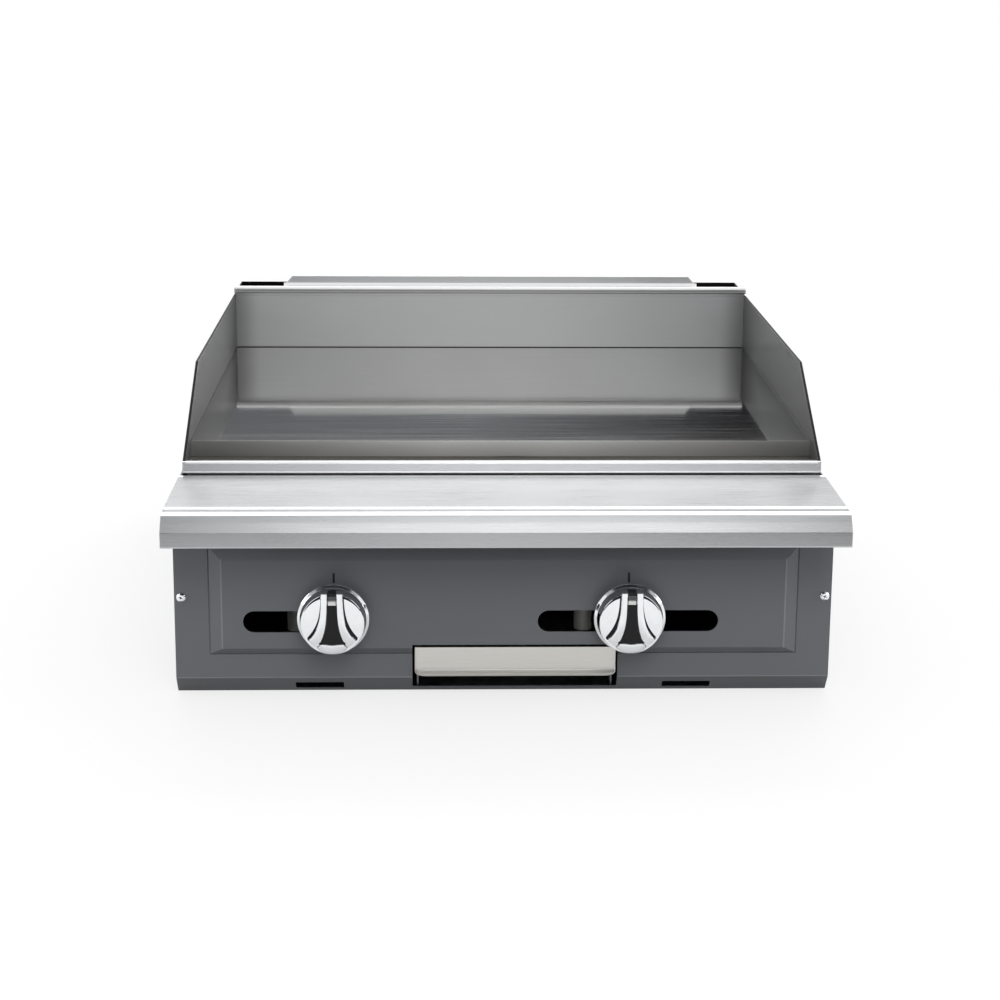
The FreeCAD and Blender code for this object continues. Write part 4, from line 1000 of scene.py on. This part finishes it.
def ridge_outer(height):
    """Half the grip's width at a height above the knob's axis."""
    reach = foot_reach if height < 0 else top_reach
    return min(ridge_half + ridge_flare * flare(height), math.sqrt(reach ** 2 - height ** 2))


def ridge_inner(height):
    """Half the channel's width at a height above the knob's axis."""
    return channel_half + channel_flare * flare(height)


def ridge_section(height):
    """A ridge's section at a height, as (out from the axis, ahead of the knob's back) points."""
    outer = ridge_outer(height)
    inner = ridge_inner(height)
    fall = max(0, (ridge_top - height) / flare_from - fall_from) / (1 - fall_from)
    crest = crest_at - crest_fall * fall ** 2
    outside = [(outer - into * MM, crest - down * MM) for into, down in crest_outside]
    inside = [(inner + into * MM, crest - down * MM) for into, down in crest_inside]
    middle = ((outer + inner) / 2, crest)
    return [(outer, face_at), *outside, middle, *inside, (inner, floor_at), (inner, face_at)]


def shadow_film(near, far):
    """The section of a film of painted shadow on the knob's face, from near the axis to far from it."""
    return [(near, face_at), (far, face_at), (far, face_at + shadow_film_thick), (near, face_at + shadow_film_thick)]


def on_knob(axis, across, ahead, height):
    """A point across and above a knob's axis and ahead of its back."""
    return (axis[0] + across, axis[1] - ahead, axis[2] + height)


chrome = mottled("bright_chrome", smear_size, "#e2e4e7", "#f1f2f3", 0.05, 0.12)
bar_white = mottled("white_index_paint", coverage_size, "#f2f2f0", "#fbfbfa", 0.4, metallic=0.0)
insert_black, tree, place = new_material("moulded_black_plastic")
grain = add(tree, "ShaderNodeTexNoise", {"Vector": place, "Scale": 1 / grain_size})
tone = add(tree, "ShaderNodeMix", {0: grain.outputs["Fac"], 6: linear("#0c0c0e"), 7: linear("#17171a")},
           data_type="RGBA")
bump = add(tree, "ShaderNodeBump", {"Height": grain.outputs["Fac"], "Distance": grain_height})
close_material(tree, {"Base Color": tone.outputs[2], "Roughness": 0.3, "Specular IOR Level": 0.25,
                      "Normal": bump.outputs["Normal"]})
heights = [ridge_top + (ridge_foot - ridge_top) * row / ridge_rows for row in range(ridge_rows + 1)]
for side in ("left", "right"):
    body = f"knob_{side}_set"
    low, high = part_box(f"knob_{side}")
    axis = ((low.x + high.x) / 2, high.y, (low.z + high.z) / 2)

    shape = bmesh.new()
    turns = [math.tau * step / ring_steps for step in range(ring_steps)]
    loft(shape, [[on_knob(axis, radius * MM * math.cos(turn), ahead * MM, radius * MM * math.sin(turn))
                  for turn in turns] for radius, ahead in rim_profile])
    for sign in (-1, 1):
        loft(shape, [[on_knob(axis, sign * across, ahead, height) for across, ahead in ridge_section(height)]
                     for height in heights])
    lip_sections = []
    for step in range(lip_steps + 1):
        aside = 2 * step / lip_steps - 1
        turn = -math.pi / 2 + lip_half_angle * aside
        pull = 1 - lip_taper * abs(aside) ** 3
        reaches = [(lip_radius + out * pull * MM, ahead * MM) for out, ahead in lip_section]
        lip_sections.append([on_knob(axis, reach * math.cos(turn), ahead, reach * math.sin(turn))
                             for reach, ahead in reaches])
    loft(shape, lip_sections)
    wedge = [(insert_at - wedge_sink, wedge_low), (insert_at + wedge_rise, wedge_low),
             (insert_at - wedge_drop, wedge_high), (insert_at - wedge_sink, wedge_high)]
    loft(shape, [[on_knob(axis, end, ahead, height) for ahead, height in wedge]
                 for end in (-bar_half, bar_half)])
    fit(into_object(f"knob_{side}_cast", shape), chrome, body, "knob_chrome", f"knob_{side}")

    shape = bmesh.new()
    sections = []
    for height in [height for height in heights if height > insert_foot] + [insert_foot]:
        half = ridge_inner(height) - insert_gap
        dish = [(-half, floor_at - insert_depth), (half, floor_at - insert_depth), (half, insert_at),
                (half * dish_share, insert_at - dish_depth), (-half * dish_share, insert_at - dish_depth),
                (-half, insert_at)]
        sections.append([on_knob(axis, across, ahead, height) for across, ahead in dish])
    loft(shape, sections)
    # Black films beside each ridge and along the face's upper edge are painted shadow lines.
    for sign in (-1, 1):
        strip = []
        for row, height in enumerate(heights):
            near = ridge_outer(height) - insert_gap
            edge = math.sqrt(max(face_reach ** 2 - height ** 2, 0))
            far = min(near + shadow_film_width + shadow_film_widening * row / ridge_rows, edge)
            if far > near + shadow_film_least and height > shadow_film_foot:
                strip.append([on_knob(axis, sign * across, ahead, height)
                              for across, ahead in shadow_film(near, far)])
        loft(shape, strip)
        arc = []
        for step in range(arc_steps + 1):
            turn = arc_from + (arc_to - arc_from) * step / arc_steps
            wide = arc_width - arc_narrowing * step / arc_steps
            arc.append([on_knob(axis, sign * radius * math.cos(turn), ahead, radius * math.sin(turn))
                        for radius, ahead in shadow_film(face_reach - wide, face_reach)])
        loft(shape, arc)
    fit(into_object(f"knob_{side}_insert", shape), insert_black, body, "knob_black", f"knob_insert_{side}")

    shape = bmesh.new()
    box_between(shape, on_knob(axis, -bar_half, insert_at + bar_proud, bar_low),
                on_knob(axis, bar_half, insert_at - bar_sink, bar_high))
    fit(into_object(f"knob_{side}_index", shape, bar_rounding), bar_white, body, "knob_black")

# Screws: pan heads with a cross recess. The two on the control panel are chromed, the ones
# on the sides and the back are zinc-plated; all thread into the body.
head_radius = 4.6 * MM
head_rise = 2.8 * MM
recess_width = 1.1 * MM
recess_reach = 4.6 * MM
recess_depth = 1.4 * MM
wall_share = 0.55
shoulder_share = 0.92
crown_share = 0.6
head_sides = 32
panel_twist = 0.4
rear_twist = 0.9
tree, given = new_tree("pan_head_screws", {
    "Head radius": "NodeSocketFloat", "Head rise": "NodeSocketFloat", "Recess width": "NodeSocketFloat",
    "Recess reach": "NodeSocketFloat", "Recess depth": "NodeSocketFloat", "Plating": "NodeSocketMaterial"})
rise = given["Head rise"]
radius = given["Head radius"]
wall_rise = add(tree, "ShaderNodeMath", {0: rise, 1: wall_share}, operation="MULTIPLY").outputs[0]
crown_rise = add(tree, "ShaderNodeMath", {0: rise, 1: wall_rise}, operation="SUBTRACT").outputs[0]
shoulder = add(tree, "ShaderNodeMath", {0: radius, 1: shoulder_share}, operation="MULTIPLY").outputs[0]
crown = add(tree, "ShaderNodeMath", {0: radius, 1: crown_share}, operation="MULTIPLY").outputs[0]
wall = add(tree, "GeometryNodeMeshCone", {"Vertices": head_sides, "Radius Top": shoulder,
                                          "Radius Bottom": radius, "Depth": wall_rise}).outputs[0]
dome = add(tree, "GeometryNodeMeshCone", {"Vertices": head_sides, "Radius Top": crown,
                                          "Radius Bottom": shoulder, "Depth": crown_rise}).outputs[0]
lift = add(tree, "ShaderNodeCombineXYZ", {"Z": wall_rise}).outputs[0]
raised = add(tree, "GeometryNodeTransform", {"Geometry": dome, "Translation": lift}).outputs[0]
head = add(tree, "GeometryNodeMeshBoolean", {"Mesh 2": wall}, operation="UNION")
tree.links.new(raised, head.inputs["Mesh 2"])
recess_tall = add(tree, "ShaderNodeMath", {0: given["Recess depth"], 1: 2.0}, operation="MULTIPLY").outputs[0]
recess_place = add(tree, "ShaderNodeCombineXYZ", {"Z": rise}).outputs[0]
cut = add(tree, "GeometryNodeMeshBoolean", {"Mesh 1": head.outputs["Mesh"]}, operation="DIFFERENCE")
for first, second in (("Recess width", "Recess reach"), ("Recess reach", "Recess width")):
    slot_size = add(tree, "ShaderNodeCombineXYZ", {"X": given[first], "Y": given[second], "Z": recess_tall})
    blade = add(tree, "GeometryNodeMeshCube", {"Size": slot_size.outputs[0]}).outputs["Mesh"]
    sunk = add(tree, "GeometryNodeTransform", {"Geometry": blade, "Translation": recess_place}).outputs[0]
    tree.links.new(sunk, cut.inputs["Mesh 2"])
turn = add(tree, "GeometryNodeInputNamedAttribute", {"Name": "turn"}, data_type="FLOAT_VECTOR")
placed = add(tree, "GeometryNodeInstanceOnPoints", {"Points": given["Geometry"],
                                                    "Instance": cut.outputs["Mesh"],
                                                    "Rotation": turn.outputs["Attribute"]}).outputs[0]
real = add(tree, "GeometryNodeRealizeInstances", {"Geometry": placed}).outputs[0]
plated = add(tree, "GeometryNodeSetMaterial", {"Geometry": real, "Material": given["Plating"]}).outputs[0]
add(tree, "NodeGroupOutput", {"Geometry": plated})
screw_tree = tree
screw_sizes = {"Head radius": head_radius, "Head rise": head_rise, "Recess width": recess_width,
               "Recess reach": recess_reach, "Recess depth": recess_depth}
quarter = math.pi / 2
facing = {"front": (quarter, panel_twist, 0), "back": (-quarter, rear_twist, 0),
          "left": (0, -quarter, 0), "right": (0, quarter, 0)}


def screw_row(name, node, plating, slot, seats):
    """Put a screw on each seat, given as a point and the way the seat faces."""
    points = [point for point, face in seats]
    turns = [facing[face] for point, face in seats]
    made = grow(name, screw_tree, points, {**screw_sizes, "Plating": plating}, turns)
    fit(made, plating, "frame", slot, node)


for name, node, plating, slot, face in (
        ("panel_screw_heads", "panel_screws", chrome, "knob_chrome", "front"),
        ("rear_screw_heads", "rear_screws", zinc, "zinc_screws", "back")):
    low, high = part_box(node)
    seat_y = low.y + head_rise if face == "front" else high.y - head_rise
    seat_z = (low.z + high.z) / 2
    screw_row(name, node, plating, slot,
              [((x, seat_y, seat_z), face) for x in (low.x + head_radius, high.x - head_radius)])
low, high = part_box("side_screws")
seat_z = (low.z + high.z) / 2
side_seats = [((x, y, seat_z), face)
              for x, face in ((low.x + head_rise, "left"), (high.x - head_rise, "right"))
              for y in (low.y + head_radius, high.y - head_radius)]
screw_row("side_screw_heads", "side_screws", zinc, "zinc_screws", side_seats)

# Floor: a plain white sweep under the object. It keeps the object's shadow near it and fades
# to the white of the room further out.
floor_half = 6
floor_drop = 0.2 * MM
floor_near = 0.5
floor_far = 1.4
near_glow = 0.7
mirrored_glow = 0.15


def shown_to(tree):
    """One for the rays that see the background: straight, mirrored or through glass."""
    rays = add(tree, "ShaderNodeLightPath", {}).outputs
    straight = add(tree, "ShaderNodeMath", {0: rays["Is Camera Ray"], 1: rays["Is Glossy Ray"]},
                   operation="MAXIMUM")
    return add(tree, "ShaderNodeMath", {0: straight.outputs[0], 1: rays["Is Transmission Ray"]},
               operation="MAXIMUM").outputs[0]


floor_white, tree, place = new_material("white_floor")
away = add(tree, "ShaderNodeVectorMath", {0: place}, operation="LENGTH")
fade = add(tree, "ShaderNodeMapRange", {"Value": away.outputs["Value"], "From Min": floor_near,
                                        "From Max": floor_far},
           interpolation_type="SMOOTHSTEP")
straight = add(tree, "ShaderNodeLightPath", {}).outputs["Is Camera Ray"]
glow_here = add(tree, "ShaderNodeMapRange", {"Value": straight, "To Min": mirrored_glow, "To Max": near_glow})
tree.links.new(glow_here.outputs["Result"], fade.inputs["To Min"])
seen = shown_to(tree)
share = add(tree, "ShaderNodeMath", {0: fade.outputs["Result"], 1: seen}, operation="MULTIPLY")
paper = add(tree, "ShaderNodeMix", {0: seen, 6: linear("#767676"), 7: linear("#f4f4f4")}, data_type="RGBA")
matt_white = add(tree, "ShaderNodeBsdfDiffuse", {"Color": paper.outputs[2]})
glow = add(tree, "ShaderNodeEmission", {"Color": linear("#ffffff")})
mixed = add(tree, "ShaderNodeMixShader", {0: share.outputs[0], 1: matt_white.outputs[0], 2: glow.outputs[0]})
add(tree, "ShaderNodeOutputMaterial", {"Surface": mixed.outputs[0]})
shape = bmesh.new()
bmesh.ops.create_grid(shape, size=floor_half, matrix=Matrix.Translation((0, 0, -floor_drop)))
floor = into_object("floor", shape)
floor.data.materials.append(floor_white)

# Flags: grey cloths out of the camera's sight that only polished metal mirrors. One hangs
# behind, low enough for the plate to see it under the bright room and darker to the right;
# three stand in front, paler in the middle.


def flag(name, low, high, tones):
    """Hang a cloth whose grey runs from left to right through tones, each a place and a colour."""
    cloth, tree, place = new_material(f"{name}_cloth")
    across = add(tree, "ShaderNodeSeparateXYZ", {"Vector": place}).outputs["X"]
    shade = linear(tones[0][1])
    for (start, _), (end, colour) in zip(tones, tones[1:]):
        share = add(tree, "ShaderNodeMapRange", {"Value": across, "From Min": start, "From Max": end})
        shade = add(tree, "ShaderNodeMix", {0: share.outputs["Result"], 6: shade, 7: linear(colour)},
                    data_type="RGBA").outputs[2]
    glow = add(tree, "ShaderNodeEmission", {"Color": shade})
    add(tree, "ShaderNodeOutputMaterial", {"Surface": glow.outputs[0]})
    shape = bmesh.new()
    box_between(shape, low, high)
    hung = into_object(name, shape)
    hung.data.materials.append(cloth)
    hung.visible_camera = False
    hung.visible_diffuse = False
    hung.visible_shadow = False


flag("rear_flag", (-2.2, 1.6, 0.4), (2.2, 1.61, 0.69),
     [(-0.5, "#7b7e83"), (0.0, "#8b8e93"), (0.5, "#343538")])
flag("high_flag", (-1.8, -2.06, 1.2), (1.8, -2.05, 4.5),
     [(-0.75, "#1c1c1e"), (-0.15, "#d8d8da"), (0.4, "#d8d8da"), (0.85, "#707072")])
flag("front_flag", (-3.0, -3.2, 0.35), (3.0, -3.19, 1.75),
     [(-0.66, "#c5c6c9"), (0.1, "#f0f0f0"), (0.84, "#cdced0")])
flag("low_flag", (-1.6, -0.91, 0.0), (1.6, -0.9, 0.35),
     [(-0.45, "#343436"), (0, "#d6d6d8"), (0.45, "#2c2c2e")])

# Light: a soft box above and behind, a front one above the camera with a fill that metal does
# not mirror, one at each side, and an even white room.
room_light = 0.72
front_place = (0.13, -2.1, 1.62)
front_aim = (0.05, -0.3, 0.15)


def soft_box(name, place, aim, width, depth, power, mirrored=True):
    """Hang a rectangular lamp that faces a point; metal may mirror it or not."""
    lamp = bpy.data.lights.new(name, "AREA")
    lamp.shape = "RECTANGLE"
    lamp.size = width
    lamp.size_y = depth
    lamp.energy = power
    made = bpy.data.objects.new(name, lamp)
    made.location = place
    made.rotation_euler = (Vector(aim) - Vector(place)).to_track_quat("-Z", "Y").to_euler()
    made.visible_glossy = mirrored
    bpy.context.scene.collection.objects.link(made)


soft_box("overhead_box", (0.1, 1.2, 1.6), (0, -0.2, 0.2), 2.2, 1.1, 17)
soft_box("front_box", front_place, front_aim, 1.2, 1.7, 9)
soft_box("front_fill", front_place, front_aim, 1.1, 0.8, 11, False)
for name, side in (("left_box", -1), ("right_box", 1)):
    soft_box(name, (side * 2.2, -0.45, 0.9), (0, -0.2, 0.15), 1.0, 1.0, 10)
world = bpy.data.worlds.new("room")
world.use_nodes = True
tree = world.node_tree
tree.nodes.clear()
strength = add(tree, "ShaderNodeMapRange", {"Value": shown_to(tree), "To Min": room_light, "To Max": 1.0})
room = add(tree, "ShaderNodeBackground", {"Color": linear("#ffffff"), "Strength": strength.outputs["Result"]})
add(tree, "ShaderNodeOutputWorld", {"Surface": room.outputs[0]})
bpy.context.scene.world = world
bpy.context.scene.view_settings.view_transform = "Standard"

# Camera: a long lens a little above the object and to its left, aimed down at the ledge and
# rolled by less than half a degree.
camera_place = (-59.98 * MM, -2052.1 * MM, 693.94 * MM)
camera_down = math.radians(12.312)
camera_right = math.radians(1.774)
camera_roll = math.radians(0.44)
lens_length = 71.515
lens_shift = -0.13
lens = bpy.data.cameras.new("camera")
lens.lens = lens_length
lens.shift_y = lens_shift
camera = bpy.data.objects.new("camera", lens)
camera.matrix_world = (
    Matrix.Translation(camera_place)
    @ Matrix.Rotation(-camera_right, 4, "Z")
    @ Matrix.Rotation(math.pi / 2 - camera_down, 4, "X")
    @ Matrix.Rotation(camera_roll, 4, "Z")
)
bpy.context.scene.collection.objects.link(camera)
bpy.context.scene.camera = camera
